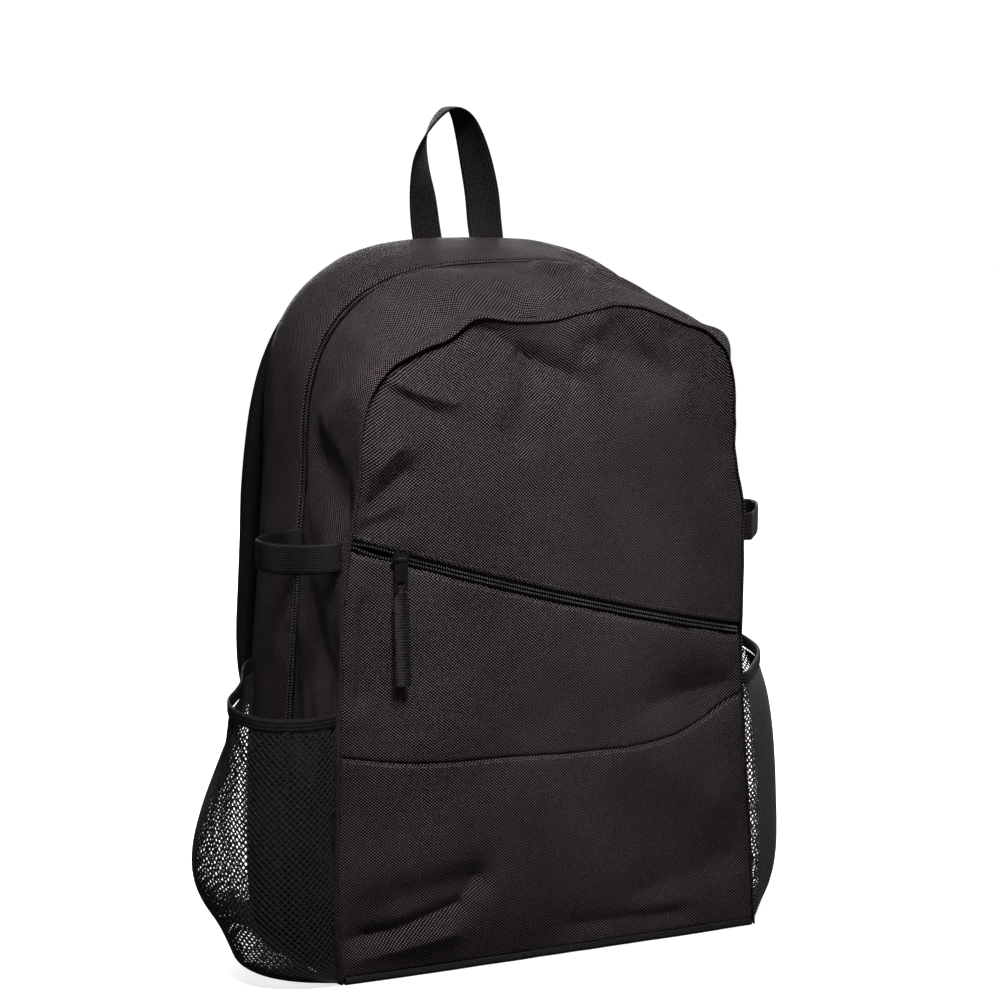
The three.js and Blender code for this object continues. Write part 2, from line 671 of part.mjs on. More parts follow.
add("front_zipper", geometryOf(solid(loft(frontRings)).subtract(solid(loft(slitRings)))), black_coil);

// The cloth behind the front pocket: a flat sheet just inside the front band
const pressedEdge = outline(POCKET_CLOTH_Y, 0, BOTTOM + SEAM_GAP).map((spot) => {
  const at = bandPoint(spot, POCKET_CLOTH_Y);
  return { x: at.x, z: at.z };
});
const sheetEdge = shrunk(pressedEdge, INSET + PANEL_GAP);
sheetEdge[0].z = BOTTOM + SEAM_GAP;
sheetEdge[sheetEdge.length - 1].z = BOTTOM + SEAM_GAP;
const sheetShape = new THREE.Shape(sheetEdge.map((p) => new THREE.Vector2(p.x, p.z)));
const sheet = new THREE.ExtrudeGeometry(sheetShape, { depth: CLOTH, bevelEnabled: false });
sheet.rotateX(Math.PI / 2);
sheet.translate(0, POCKET_CLOTH_Y + CLOTH, 0);
add("front_pocket_backing", sheet, black_cloth);

// The padded back, the bottom, and the piping along the front of the bottom
const backTop = crownHeight(BACK_Y) - BACK_INSET;
function backDepth(x, z) {
  const across = clamp(x / halfWidth(x, Math.min(z, backTop - 1), BACK_Y, BACK_INSET), -1, 1);
  const up = clamp((2 * z) / backTop - 1, -1, 1);
  return BACK_Y + BACK_CROWN * (1 - across ** 4) * (1 - up ** 6);
}
const archHeights = [0, 0.28, 0.5, 0.68, 0.82, 0.92, 0.97, 0.998].map((t) => mix(SHOULDER, backTop, t));
const backGrid = [...sideHeights(BOTTOM + SEAM_GAP), ...archHeights].map((z) =>
  steps(14).map((t) => {
    const x = mix(-1, 1, t) * halfWidth(1, z, BACK_Y, BACK_INSET);
    return vec(x, backDepth(x, z), z);
  }),
);
add("back_panel", wall(backGrid, BACK_PADDING, inside), black_cloth);

const bottomEdge = steps(8).map((t) => {
  const y = mix(FRONT_Y + CLOTH + SEAM_GAP, BACK_Y - CLOTH - SEAM_GAP, t);
  return new THREE.Vector2(halfWidth(1, FLOOR_GAP, y, BACK_INSET), y);
});
const bottomBack = bottomEdge.map((p) => new THREE.Vector2(-p.x, p.y)).reverse();
const bottomShape = new THREE.Shape([...bottomEdge, ...bottomBack]);
add("bottom_panel", new THREE.ExtrudeGeometry(bottomShape, { depth: BOTTOM, bevelEnabled: false }), black_cloth);

const pipingRings = steps(14).map((t) => {
  const share = mix(-1, 1, t);
  const y = FRONT_Y - CLOTH / 2 - CLOTH * (1 - share ** 4);
  return steps(8).slice(1).map((turn) => {
    const angle = 2 * Math.PI * (turn + 1 / 16);
    const across = PIPING_RADIUS * Math.sin(angle);
    return vec(share * (BASE_HALF - 6), y + across, PIPING_RADIUS * (1.04 + Math.cos(angle)));
  });
});
add("bottom_piping", loft(pipingRings), black_webbing);

// Grab handle: webbing sewn flat at both feet, so each leg turns on its way over the top
const handleFoot = backDepth(0, crownHeight(BACK_Y) - 0.16 * HANDLE_RISE) + SEAM_GAP + WEBBING / 2;
const handleRows = sized(handle_rows, { x: HANDLE_SPREAD, y: HANDLE_RISE, z: HANDLE_RISE });
const handle = handleRows.map((row) => ({
  at: vec(HANDLE_X + row.x, handleFoot + 0.75 + row.y, crownHeight(BACK_Y) + row.z),
  across: vec(Math.cos(radians(row.turn)), Math.sin(radians(row.turn)), 0),
  width: WEBBING_WIDTH,
  thickness: WEBBING,
}));
add("grab_handle", ribbon(handle), black_webbing);

// A point off the side of the bag; the last figure is the stand-off.
function offSide(sign, y, z, off) {
  return vec(sign * (halfWidth(sign, z, clamp(y, FRONT_Y, BACK_Y)) + off), y, z);
}

// Bat loops and bat pockets; they keep the form that a bat gives them
const sides = { left: -1, right: 1 };
const upright = vec(0, 0, 1);
const netTop = (y) => POCKET_HEIGHT + POCKET_RISE * ((y - FRONT_Y) / BAG_DEPTH) - BINDING_WIDTH - SEAM_GAP;
for (const [side, sign] of Object.entries(sides)) {
  const loop = sized(loop_rows[side], { y: BAG_DEPTH, off: LOOP_REACH }).map((row) => ({
    at: offSide(sign, row.y, LOOP_HEIGHT, OFF_SEAM + row.off),
    across: upright,
    width: ELASTIC_WIDTH,
    thickness: ELASTIC,
  }));
  add("bat_loop_" + side, ribbon(loop), black_elastic);

  const columns = sized(net_rows[side], { y: BAG_DEPTH, barrel: BARREL_REACH, slack: NET_SLACK });
  const standOff = (level, column) => OFF_SEAM + level[side] * column.barrel + level.slack * column.slack;
  const net = net_levels.map((level) =>
    columns.map((column) => {
      const z = mix(NET_LOW, netTop(column.y), level.z);
      return offSide(sign, column.y, z, standOff(level, column));
    }),
  );
  add("mesh_pocket_" + side, wall(net, NET, vec(0, 0, POCKET_HEIGHT / 2)), black_net);

  const rim = net_levels[net_levels.length - 1];
  const binding = columns.map((column) => {
    const z = netTop(column.y) + SEAM_GAP + BINDING_WIDTH / 2;
    return {
      at: offSide(sign, column.y, z, standOff(rim, column) + NET / 4),
      across: upright,
      width: BINDING_WIDTH,
      thickness: 2 * NET,
    };
  });
  add("pocket_binding_" + side, ribbon(binding), black_elastic);
}

// Bars of a strap adjuster from the top: upper and lower edge, in shares of its half height
const bar_rows = [
  { high: 1, low: 0.79 },
  { high: 0.25, low: -0.04 },
  { high: -0.58, low: -1 },
];
const bars = sized(bar_rows, { high: ADJUSTER_HALF, low: ADJUSTER_HALF });

// Rows of a strip that comes along the front of a bar, bends round its edge and goes back behind it.
function bend(edge, way, thickness) {
  const radius = BAR_GAP + thickness / 2;
  return [180, 225, 270, 270, 315, 360].map((degrees, i) => {
    const corner = ((i < 3 ? -1 : 1) * ADJUSTER_THICKNESS) / 2;
    return {
      y: corner + radius * Math.cos(radians(degrees)),
      z: edge - way * radius * Math.sin(radians(degrees)),
    };
  });
}

function rectangle(x, z, width, height) {
  const corners = [
    [-1, -1],
    [1, -1],
    [1, 1],
    [-1, 1],
  ];
  return corners.map(([a, b]) => new THREE.Vector2(x + (a * width) / 2, z + (b * height) / 2));
}

const tongueOut = ADJUSTER_THICKNESS / 2 + BAR_GAP + TONGUE / 2;
const webbingOut = ADJUSTER_THICKNESS / 2 + BAR_GAP + WEBBING / 2;
const tongue_rows = [
  { y: -tongueOut, z: ADJUSTER_DROP - 6 },
  ...bend(bars[0].low, -1, TONGUE),
  { y: tongueOut, z: ADJUSTER_DROP - 8 },
];
const webbing_rows = [
  { y: -webbingOut - 0.6, z: -ADJUSTER_HALF - 14 },
  { y: -webbingOut, z: -ADJUSTER_HALF - 3 },
  ...bend(bars[1].high, 1, WEBBING),
  { y: webbingOut, z: -ADJUSTER_HALF - 3 },
  { y: webbingOut + 1.5, z: -ADJUSTER_HALF - 0.45 * TAIL_LENGTH },
  { y: webbingOut + 3, z: -ADJUSTER_HALF - TAIL_LENGTH },
];

// Shoulder straps: each is padded, sewn to the top of the back, and ends in a tongue that holds the
// adjuster; the webbing comes up from the bottom corner, round the adjuster's bar, and hangs free
for (const [side, sign] of Object.entries(sides)) {
  const rows = sized(strap_rows, {
    x: BASE_HALF,
    off: STRAP_STAND_OFF,
    z: BAG_HEIGHT,
    width: STRAP_WIDTH,
    thickness: STRAP_THICKNESS,
  });
  const padding = rows.map((row) => {
    const behind = backDepth(row.x - 0.4 * STRAP_WIDTH, row.z) + SEAM_GAP + row.thickness / 2;
    return { ...row, at: vec(sign * row.x, behind + row.off, row.z), across: vec(1, 0, 0) };
  });
  const end = padding[padding.length - 1].at;
  const middle = end.clone().add(vec(0, tongueOut, -ADJUSTER_DROP));
  const strip = (row, thickness) => ({
    at: middle.clone().add(vec(0, row.y, row.z)),
    across: vec(1, 0, 0),
    width: WEBBING_WIDTH,
    thickness,
  });
  const tongue = tongue_rows.map((row) => strip(row, TONGUE));
  add("shoulder_strap_" + side, ribbon([...padding, ...tongue]), black_cloth);

  const frame = new THREE.Shape(rectangle(0, 0, ADJUSTER_WIDTH, 2 * ADJUSTER_HALF));
  bars.slice(1).forEach((bar, i) => {
    const high = bars[i].low;
    const slot = rectangle(0, (high + bar.high) / 2, WEBBING_WIDTH + 4 * SEAM_GAP, high - bar.high);
    frame.holes.push(new THREE.Path(slot));
  });
  const adjuster = new THREE.ExtrudeGeometry(frame, { depth: ADJUSTER_THICKNESS, bevelEnabled: false });
  adjuster.rotateX(Math.PI / 2);
  adjuster.translate(middle.x, middle.y + ADJUSTER_THICKNESS / 2, middle.z);
  add("strap_adjuster_" + side, adjuster, black_plastic);

  const feet = sized(foot_rows, { z: BAG_HEIGHT, off: STRAP_STAND_OFF }).map((row) => {
    const x = mix(BASE_HALF - WEBBING_INSET, end.x * sign, row.way);
    const behind = backDepth(0.9 * x, row.z) + SEAM_GAP + WEBBING / 2;
    return {
      at: vec(sign * x, behind + 0.3 + row.off, row.z),
      across: vec(1, 0, 0),
      width: WEBBING_WIDTH,
      thickness: WEBBING,
    };
  });
  const climb = webbing_rows.map((row) => strip(row, WEBBING));
  add("strap_webbing_" + side, ribbon([...feet, ...climb]), black_webbing);
}

// Sliders with their pulls. In a slider's own frame the bar runs along X, -Y points away from the
// cloth and the pull hangs down; the origin is on the coil.
const block = (z, width, depth, height) => new THREE.BoxGeometry(width, depth, height).translate(0, 0, z);

// A bar along X, with a flat underside.
function rod(radius, length, count) {
  const ring = steps(count).slice(1).map((t) => {
    const angle = 2 * Math.PI * (t + 0.5 / count);
    return [radius * Math.cos(angle), radius * Math.sin(angle)];
  });
  return loft([-length / 2, length / 2].map((x) => ring.map(([y, z]) => vec(x, y, z))));
}

function sliderShape(tilt) {
  const plate = new THREE.BoxGeometry(SLIDER_LENGTH, SLIDER_PLATE, SLIDER_WIDTH);
  plate.rotateY(tilt).translate(0, -SLIDER_GAP - SLIDER_PLATE / 2, 0);
  const bar = rod(BAR_RADIUS, SLIDER_LENGTH - 1.6, 8).translate(0, -BAR_OUT, 0);
  const from = SLIDER_GAP + SLIDER_PLATE / 2;
  const to = BAR_OUT + BAR_RADIUS;
  const posts = [-1, 1].map((end) =>
    new THREE.BoxGeometry(1.2, to - from, 2.4 * BAR_RADIUS).translate(
      end * (SLIDER_LENGTH / 2 - 1),
      -(from + to) / 2,
      0,
    ),
  );
  return geometryOf(joined(plate, bar, ...posts));
}

// The metal pull, hanging from the origin: an eye round the bar, a blade, and a slot for the tab.
const eyeRadius = BAR_RADIUS + EYE_GAP;
const bladeTop = eyeRadius + EYE_WALL + 0.45;
const slotMiddle = -(PULL_LENGTH - PULL_SLOT / 2 - 2.6);
function pullShape() {
  const eye = rod(eyeRadius + EYE_WALL, 0.54 * SLIDER_LENGTH, 12);
  const neck = block(-(eyeRadius + bladeTop) / 2 - 0.2, 0.46 * SLIDER_LENGTH, PULL_THICKNESS, 1.7);
  const blade = block(-(PULL_LENGTH + bladeTop) / 2, PULL_WIDTH, PULL_THICKNESS, PULL_LENGTH - bladeTop);
  const hole = rod(eyeRadius, SLIDER_LENGTH, 12);
  const slot = block(slotMiddle, PULL_WIDTH - 2.2, 3 * PULL_THICKNESS, PULL_SLOT);
  return geometryOf(joined(eye, neck, blade).subtract(solid(hole)).subtract(solid(slot)));
}

// The webbing tab: its narrow top is looped through the slot of the pull.
function tabShape() {
  const loopWidth = PULL_WIDTH - 2.2 - 2 * SEAM_GAP;
  const loopDepth = PULL_THICKNESS + 2 * SEAM_GAP;
  const barTop = slotMiddle - PULL_SLOT / 2;
  const rows = [
    { z: barTop + 1.3, width: loopWidth, thickness: loopDepth + 1.6 },
    { z: -PULL_LENGTH - 1, width: loopWidth, thickness: loopDepth + 1.6 },
    { z: -PULL_LENGTH - 6, width: TAB_WIDTH, thickness: TAB_THICKNESS + 0.2 },
    { z: -PULL_LENGTH - TAB_LENGTH, width: TAB_WIDTH, thickness: TAB_THICKNESS },
  ];
  const tab = ribbon(rows.map((row) => ({ ...row, at: vec(0, 0, row.z), across: vec(1, 0, 0) })));
  const hole = block((barTop - PULL_LENGTH) / 2, PULL_WIDTH, loopDepth, barTop + PULL_LENGTH + 2 * SEAM_GAP);
  return geometryOf(solid(tab).subtract(solid(hole)));
}

// Places a slider and its pull; the pull is lifted off the cloth by an angle about its bar.
function addSlider(name, at, heading, tilt, lift) {
  const slider = new THREE.Group();
  slider.position.copy(at);
  slider.rotation.z = heading;
  const pull = new THREE.Group();
  pull.position.set(0, -BAR_OUT, 0);
  pull.rotation.x = -lift;
  slider.add(pull);
  part.add(slider);
  add(name + "_zipper_slider", sliderShape(tilt), black_metal, slider);
  add(name + "_zipper_puller", pullShape(), black_metal, pull);
  add(name + "_pull_tab", tabShape(), black_webbing, pull);
}

const coilOut = COIL_RISE - COIL_SUNK;
const sliderHeight = zipperHeight(sliderX);
const sliderDepth = frontDepth(sliderX, sliderHeight) - coilOut;
const turned = (frontDepth(sliderX + 5, sliderHeight) - frontDepth(sliderX - 5, sliderHeight)) / 10;
addSlider("front", vec(sliderX, sliderDepth, sliderHeight), Math.atan(turned), Math.atan(0.31), radians(2));

const besideZipper = halfWidth(1, MAIN_SLIDER_HEIGHT, MAIN_ZIPPER_Y) + coilOut + SLIDER_GAP;
addSlider("main", vec(besideZipper, MAIN_ZIPPER_Y, MAIN_SLIDER_HEIGHT), Math.PI / 2, 0, radians(6));

export default part;
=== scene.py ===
# A soft backpack with a bat pocket on each side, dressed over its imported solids. Lengths are in
# millimetres until a mesh is made. X is to the right seen from the front, Y to the back, Z up.
import math

import bpy
import numpy as np
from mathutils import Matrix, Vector


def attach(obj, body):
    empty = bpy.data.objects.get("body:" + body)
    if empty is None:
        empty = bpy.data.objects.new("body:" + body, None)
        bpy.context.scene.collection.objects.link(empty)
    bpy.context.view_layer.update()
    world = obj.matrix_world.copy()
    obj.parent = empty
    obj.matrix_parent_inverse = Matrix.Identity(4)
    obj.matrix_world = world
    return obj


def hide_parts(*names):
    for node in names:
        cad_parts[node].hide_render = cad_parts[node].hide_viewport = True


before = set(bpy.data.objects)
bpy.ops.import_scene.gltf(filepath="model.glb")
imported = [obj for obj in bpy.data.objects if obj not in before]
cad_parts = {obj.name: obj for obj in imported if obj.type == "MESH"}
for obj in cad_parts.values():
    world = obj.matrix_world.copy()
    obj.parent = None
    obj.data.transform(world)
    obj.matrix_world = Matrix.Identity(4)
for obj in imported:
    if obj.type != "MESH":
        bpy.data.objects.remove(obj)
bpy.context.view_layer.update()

# Named sizes, as in the part's source
BAG_HEIGHT = 488
BAG_WIDTH = 330
BAG_DEPTH = 164
ARCH_RISE = 146
ARCH_POWER = 2.6
FRONT_CROWN = 13
BACK_CROWN = 5
FRONT_LIP = 2.6
FLOOR_GAP = 0.8
CLOTH = 1.6
SEAM_GAP = 0.4
BOTTOM = 3
PIPING_RADIUS = 2.7
POCKET_CLOTH_SET = 5
FOLD_WIDTH = 16
FOLD_DEPTH = 4
FINE_FOLD_DEPTH = 11
CROWN_CREASE_DEPTH = 6.5
TUCK_WIDTH = 9
TUCK_DEPTH = 5
ZIPPER_WIDTH = 9
MAIN_ZIPPER_Y = 0.7
MAIN_ZIPPER_END = 112
FRONT_ZIPPER_HEIGHT = 251
FRONT_ZIPPER_SLOPE = 0.268
FRONT_ZIPPER_BOW = 5
FRONT_SLIDER_INSET = 44
WEBBING_WIDTH = 25
WEBBING = 1.7
ELASTIC_WIDTH = 20
ELASTIC = 1.5
LOOP_HEIGHT = 288
LOOP_REACH = 43
NET = 1.2
NET_LOW = 3
NET_SLACK = 48
BARREL_REACH = 57
BINDING_WIDTH = 9
POCKET_HEIGHT = 184
POCKET_RISE = 16
OFF_SEAM = 1.5
HANDLE_RISE = 92
HANDLE_SPREAD = 48
HANDLE_X = 10
HANDLE_SEWN = 0.16
STRAP_WIDTH = 62
STRAP_THICKNESS = 11
STRAP_STAND_OFF = 39
TONGUE = 2
TAIL_LENGTH = 62
ADJUSTER_THICKNESS = 3.5
ADJUSTER_HALF = 12
ADJUSTER_DROP = 22
BAR_GAP = 0.6
WEBBING_INSET = 23
FRONT_Y = -BAG_DEPTH / 2
BACK_Y = BAG_DEPTH / 2
BASE_HALF = BAG_WIDTH / 2
SHOULDER = BAG_HEIGHT - ARCH_RISE
POCKET_CLOTH_Y = FRONT_Y + POCKET_CLOTH_SET
ZIPPER_HALF = ZIPPER_WIDTH / 2 + SEAM_GAP
ZIPPER_FRONT = MAIN_ZIPPER_Y - ZIPPER_HALF
ZIPPER_BACK = MAIN_ZIPPER_Y + ZIPPER_HALF

# Cloth and thread
WEAVE_ACROSS = 1.22
WEAVE_UP = 1.03
COIL_PITCH = 1.9
COIL_HALF = 1.5
STITCH_PITCH = 3.2
STITCH_LENGTH = 2.3
NET_PITCH = 3.5
NET_THREAD = 0.65
STITCH_RADIUS = 0.42
STITCH_INSET = 2.2
SEAM_STITCH_INSET = 2.6
TOOTH_HALF_LENGTH = 0.36
TOOTH_HEIGHT = 0.95
TOOTH_TAPER = 0.6
TOOTH_INSET = 0.55
TAPE_THICKNESS = 0.6
ZIPPER_LAP = 1.2
CLOTH_GLOSS = 0.04
WEBBING_GLOSS = 0.2

# A point inside the bag tells a wall's two sides apart
INSIDE = (0, 0, 250)


def table(text):
    """Columns as arrays, from text with the names of the columns in its first line."""
    names, *rows = text.strip().splitlines()
    return dict(zip(names.split(), np.array([row.split() for row in rows], float).T))


# The bag's form, in shares of its named sizes
side_rows = table("""
    z left right back
    0 0.985 0.985 0.985
    0.17 1 0.965 1
    0.43 0.99 0.925 0.985
    0.6 0.98 0.905 0.96
    0.73 0.968 0.91 0.938
    0.87 0.935 0.91 0.918
    0.96 0.898 0.88 0.905
    1 0.886 0.862 0.901
""")
depth_rows = table("""
    y top swell lean left right
    -0.516 0.909 -0.006 1 1 1.5
    -0.5 0.914 0 1 1 1.5
    -0.36 0.934 0.015 0.9 1 1.45
    -0.2 0.955 0.012 0.55 1.02 1.3
    -0.04 0.97 0.003 0.2 1.05 1.15
    0.06 0.976 0.005 0 1.08 1.12
    0.2 0.991 0.012 0 1.12 1.12
    0.36 1 0.009 0 1.15 1.15
    0.5 0.99 -0.024 0 1.15 1.15
""")

# A fold runs from one point to another, in shares of a surface's two spans
crown_folds = table("""
    u v u2 v2 width depth
    -0.6 -0.39 -0.12 -0.44 1 1.1
    0.36 -0.43 0.5 -0.18 1 1
    0.05 -0.24 0.24 -0.12 1.1 -0.6
""")
left_folds = table("""
    u v u2 v2 width depth
    -0.43 0.66 -0.18 0.72 0.95 1
    -0.4 0.8 -0.24 0.76 0.8 -0.75
    -0.24 0.5 -0.37 0.42 1.25 0.9
""")
right_folds = table("""
    u v u2 v2 width depth
    -0.38 0.84 -0.21 0.83 1 -2
    -0.35 0.76 -0.18 0.74 0.9 0.75
""")
front_folds = table("""
    u v u2 v2 width depth
    -0.12 0.83 -0.2 0.75 0.9 1
    0.22 0.87 0.45 0.82 1 1.1
    -0.86 0.74 -0.73 0.62 1.1 -0.75
    0.58 0.36 0.91 0.35 1.1 1
    -0.91 0.1 -0.42 0.13 0.8 1
    0.73 0.2 0.36 0.28 1.4 -0.75
""")
seam_rows = table("""
    x z
    -1 0.318
    -0.67 0.301
    -0.21 0.297
    0.18 0.293
    0.52 0.301
    0.67 0.315
    0.83 0.338
    1 0.36
""")
handle_rows = table("""
    x y z turn
    -0.5 0 -0.16 4
    -0.5 0.004 0 6
    -0.52 0.027 0.16 8
    -0.54 0.043 0.34 14
    -0.56 0.054 0.52 28
    -0.54 0.065 0.68 43
    -0.46 0.065 0.83 62
    -0.33 0.054 0.95 74
    -0.17 0.043 1.03 82
    -0.02 0.043 1.04 94
    0.125 0.043 0.96 108
    0.25 0.043 0.8 122
    0.354 0.043 0.6 136
    0.44 0.043 0.38 147
    0.48 0.038 0.16 156
    0.5 0.015 0 166
    0.5 0.004 -0.16 176
""")
loop_rows = {
    "left": table("""
    y off
    -0.482 0
    -0.494 0.2
    -0.494 0.5
    -0.457 0.78
    -0.39 0.96
    -0.305 1.02
    -0.22 0.97
    -0.146 0.78
    -0.091 0.46
    -0.055 0
"""),
    "right": table("""
    y off
    -0.482 -0.01
    -0.476 0.14
    -0.415 0.3
    -0.329 0.54
    -0.244 0.76
    -0.171 0.88
    -0.11 0.86
    -0.073 0.5
    -0.055 0
"""),
}
net_rows = {
    "left": table("""
    y barrel slack
    -0.488 -0.015 0
    -0.506 0.22 0
    -0.506 0.5 0
    -0.47 0.77 0
    -0.402 0.94 0
    -0.317 1 0
    -0.232 0.98 0.08
    -0.134 0.82 0.35
    -0.03 0.5 0.8
    0.073 0.25 1
    0.183 0.1 0.95
    0.28 0.03 0.7
    0.348 0 0.36
    0.378 0 0
"""),
    "right": table("""
    y barrel slack
    -0.488 0 0
    -0.463 0.13 0
    -0.378 0.38 0
    -0.28 0.66 0
    -0.189 0.86 0.02
    -0.104 0.97 0.04
    -0.018 1 0.08
    0.067 0.96 0.14
    0.152 0.84 0.2
    0.232 0.62 0.22
    0.305 0.36 0.18
    0.354 0.16 0.08
    0.378 0 0
"""),
}
net_levels = table("""
    z left right slack
    0 0.02 0.02 0
    0.01 0.46 0.3 0
    0.025 0.72 0.56 0.01
    0.06 0.9 0.78 0.1
    0.12 0.96 0.9 0.4
    0.2 0.98 0.95 0.75
    0.3 1 0.96 0.96
    0.42 1 0.96 1
    0.57 0.99 0.96 0.875
    0.73 0.98 0.94 0.65
    0.87 0.97 0.88 0.44
    1 0.96 0.76 0.33
""")
strap_rows = table("""
    x off z width thickness
    0.436 0 0.93 0.8 0.4
    0.497 0.01 0.9 0.92 0.6
    0.594 0.04 0.86 1 0.9
    0.667 0.08 0.815 1 1
    0.709 0.156 0.762 1 1
    0.727 0.285 0.7 1 1
    0.727 0.49 0.63 1 1
    0.721 0.64 0.56 1 1
    0.721 0.75 0.49 1 1
    0.721 0.85 0.42 1 1
    0.721 0.85 0.362 0.96 1
    0.727 0.82 0.32 0.8 0.85
    0.727 0.8 0.296 0.46 0.5
""")
foot_rows = table("""
    z way off
    0.033 0 0
    0.07 0.12 0
    0.123 0.45 0.2
""")


def mix(a, b, t):
    return a + (b - a) * t


def read(rows, by, at, key):
    """One column at places along another, read smoothly between the rows."""
    knots = rows[by]
    values = rows[key]
    last = len(knots) - 1
    at = np.clip(np.asarray(at, float), knots[0], knots[-1])
    i = np.clip(np.searchsorted(knots, at) - 1, 0, last - 1)
    before = np.maximum(np.arange(last + 1) - 1, 0)
    after = np.minimum(np.arange(last + 1) + 1, last)
    slopes = (values[after] - values[before]) / (knots[after] - knots[before])
    span = knots[i + 1] - knots[i]
    t = (at - knots[i]) / span
    t2 = t * t
    t3 = t2 * t
    return (
        (2 * t3 - 3 * t2 + 1) * values[i]
        + (t3 - 2 * t2 + t) * span * slopes[i]
        + (3 * t2 - 2 * t3) * values[i + 1]
        + (t3 - t2) * span * slopes[i + 1]
    )


def along(rows, key, t):
    """A column at places from 0 to 1 counted along the rows."""
    steps = np.linspace(0, 1, len(rows[key]))
    return read({"t": steps, key: rows[key]}, "t", t, key)


def each_fold(folds, u, v, spans, width, power):
    """For each fold, its share of the depth and how much of it is felt at points in millimetres."""
    for row in zip(*folds.values()):
        a = np.array(row[0:2]) * spans
        run = np.array(row[2:4]) * spans - a
        share = np.clip(((u - a[0]) * run[0] + (v - a[1]) * run[1]) / (run @ run), 0, 1)
        away = np.hypot(u - a[0] - share * run[0], v - a[1] - share * run[1])
        yield row[5], np.exp(-((away / (row[4] * width)) ** power))


def pressed(folds, u, v, spans):
    """How deep soft folds press."""
    return FOLD_DEPTH * sum(depth * felt for depth, felt in each_fold(folds, u, v, spans, FOLD_WIDTH, 2))


def creased(folds, u, v, spans, width, depth):
    """How deep sharp creases press; where two meet, the deeper one counts."""
    low = 0
    high = 0
    for share, felt in each_fold(folds, u, v, spans, width, 1.25):
        low = np.minimum(low, share * felt)
        high = np.maximum(high, share * felt)
    return depth * (low + high)


def noise(u, v, scale, seed):
    """Smooth noise between -1 and 1 over a plane, with bumps of about the scale."""
    cells = np.random.default_rng(seed).uniform(-1, 1, (64, 64))
    a = np.asarray(u, float) / scale + 1000
    b = np.asarray(v, float) / scale + 1000
    i = np.floor(a).astype(int)
    j = np.floor(b).astype(int)
    s = a - i
    t = b - j
    s = s * s * (3 - 2 * s)
    t = t * t * (3 - 2 * t)
    low = mix(cells[i % 64, j % 64], cells[(i + 1) % 64, j % 64], s)
    high = mix(cells[i % 64, (j + 1) % 64], cells[(i + 1) % 64, (j + 1) % 64], s)
    return mix(low, high, t)


def crown_height(y):
    return BAG_HEIGHT * read(depth_rows, "y", y / BAG_DEPTH, "top")


def arch_power(sign, y):
    left = read(depth_rows, "y", y / BAG_DEPTH, "left")
    right = read(depth_rows, "y", y / BAG_DEPTH, "right")
    return ARCH_POWER * np.where(np.asarray(sign) < 0, left, right)


def half_width(sign, z, y, inset=0):
    """Half width of the outside of the bag on one side, less an inset."""
    swell = read(depth_rows, "y", y / BAG_DEPTH, "swell")
    lean = read(depth_rows, "y", y / BAG_DEPTH, "lean")
    low = np.minimum(z / SHOULDER, 1)
    left = read(side_rows, "z", low, "left")
    right = read(side_rows, "z", low, "right")
    front = np.where(np.asarray(sign) < 0, left, right)
    side = BASE_HALF * (mix(read(side_rows, "z", low, "back"), front, lean) + swell) - inset
    rise = np.clip((z - SHOULDER) / (crown_height(y) - inset - SHOULDER), 0, 1)
    power = arch_power(sign, y)
    return side * (1 - rise**power) ** (1 / power)


def outline(y, inset, lowest, side_steps=120, arch_steps=150):
    """The arched outline at a depth, from the left bottom corner over the crown to the right."""
    heights = np.linspace(lowest, SHOULDER, side_steps, endpoint=False)
    turn = np.linspace(-math.pi / 2, math.pi / 2, arch_steps + 1)
    half = half_width(turn, SHOULDER, y, inset)
    rise = crown_height(y) - inset - SHOULDER
    power = arch_power(turn, y)
    arch_x = half * np.sign(turn) * np.abs(np.sin(turn)) ** (2 / power)
    arch_z = SHOULDER + rise * np.maximum(0, np.cos(turn)) ** (2 / power)
    left = -half_width(-1, heights, y, inset)
    right = half_width(1, heights, y, inset)
    x = np.concatenate([left, arch_x, right[::-1]])
    z = np.concatenate([heights, arch_z, heights[::-1]])
    return x, z


def lengths(points):
    """Distance along a row of points, from its start."""
    steps = np.linalg.norm(np.diff(points, axis=0), axis=1)
    return np.concatenate([[0], np.cumsum(steps)])


def unit(vectors):
    return vectors / np.maximum(np.linalg.norm(vectors, axis=-1, keepdims=True), 1e-9)


def sampled(points, at, places):
    """Points read at distances along their line; at gives the distance of each point."""
    return np.stack([np.interp(places, at, points[:, k]) for k in range(points.shape[1])], -1)


def resampled(points, count):
    """The same line with its points at even distances."""
    points = np.asarray(points, float)
    at = lengths(points)
    return sampled(points, at, np.linspace(0, at[-1], count))


def seats(line, out, places):
    """Centre, forward, sideways and outward directions at distances along a line on a surface."""
    at = lengths(line)
    centre = sampled(line, at, places)
    normal = unit(sampled(out, at, places))
    tangent = unit(sampled(line, at, places + 0.5) - centre + 1e-6)
    return centre, tangent, np.cross(normal, tangent), normal


def corners_at(seat, ahead, aside, above):
    """Corners of small pieces, from their distances along the three directions of each seat."""
    centre, tangent, sideways, normal = (part[:, None] for part in seat)
    return centre + ahead * tangent + aside * sideways + above * normal


def grows(value, start, length):
    """0 up to the start, then evenly up to 1 over the length."""
    return np.clip((value - start) / length, 0, 1)


def bell(away, width):
    """1 in the middle and close to 0 from twice the width on."""
    return np.exp(-((away / width) ** 2))


# Meshes


def add_object(name, data):
    """A new object in the scene."""
    thing = bpy.data.objects.new(name, data)
    bpy.context.scene.collection.objects.link(thing)
    return thing


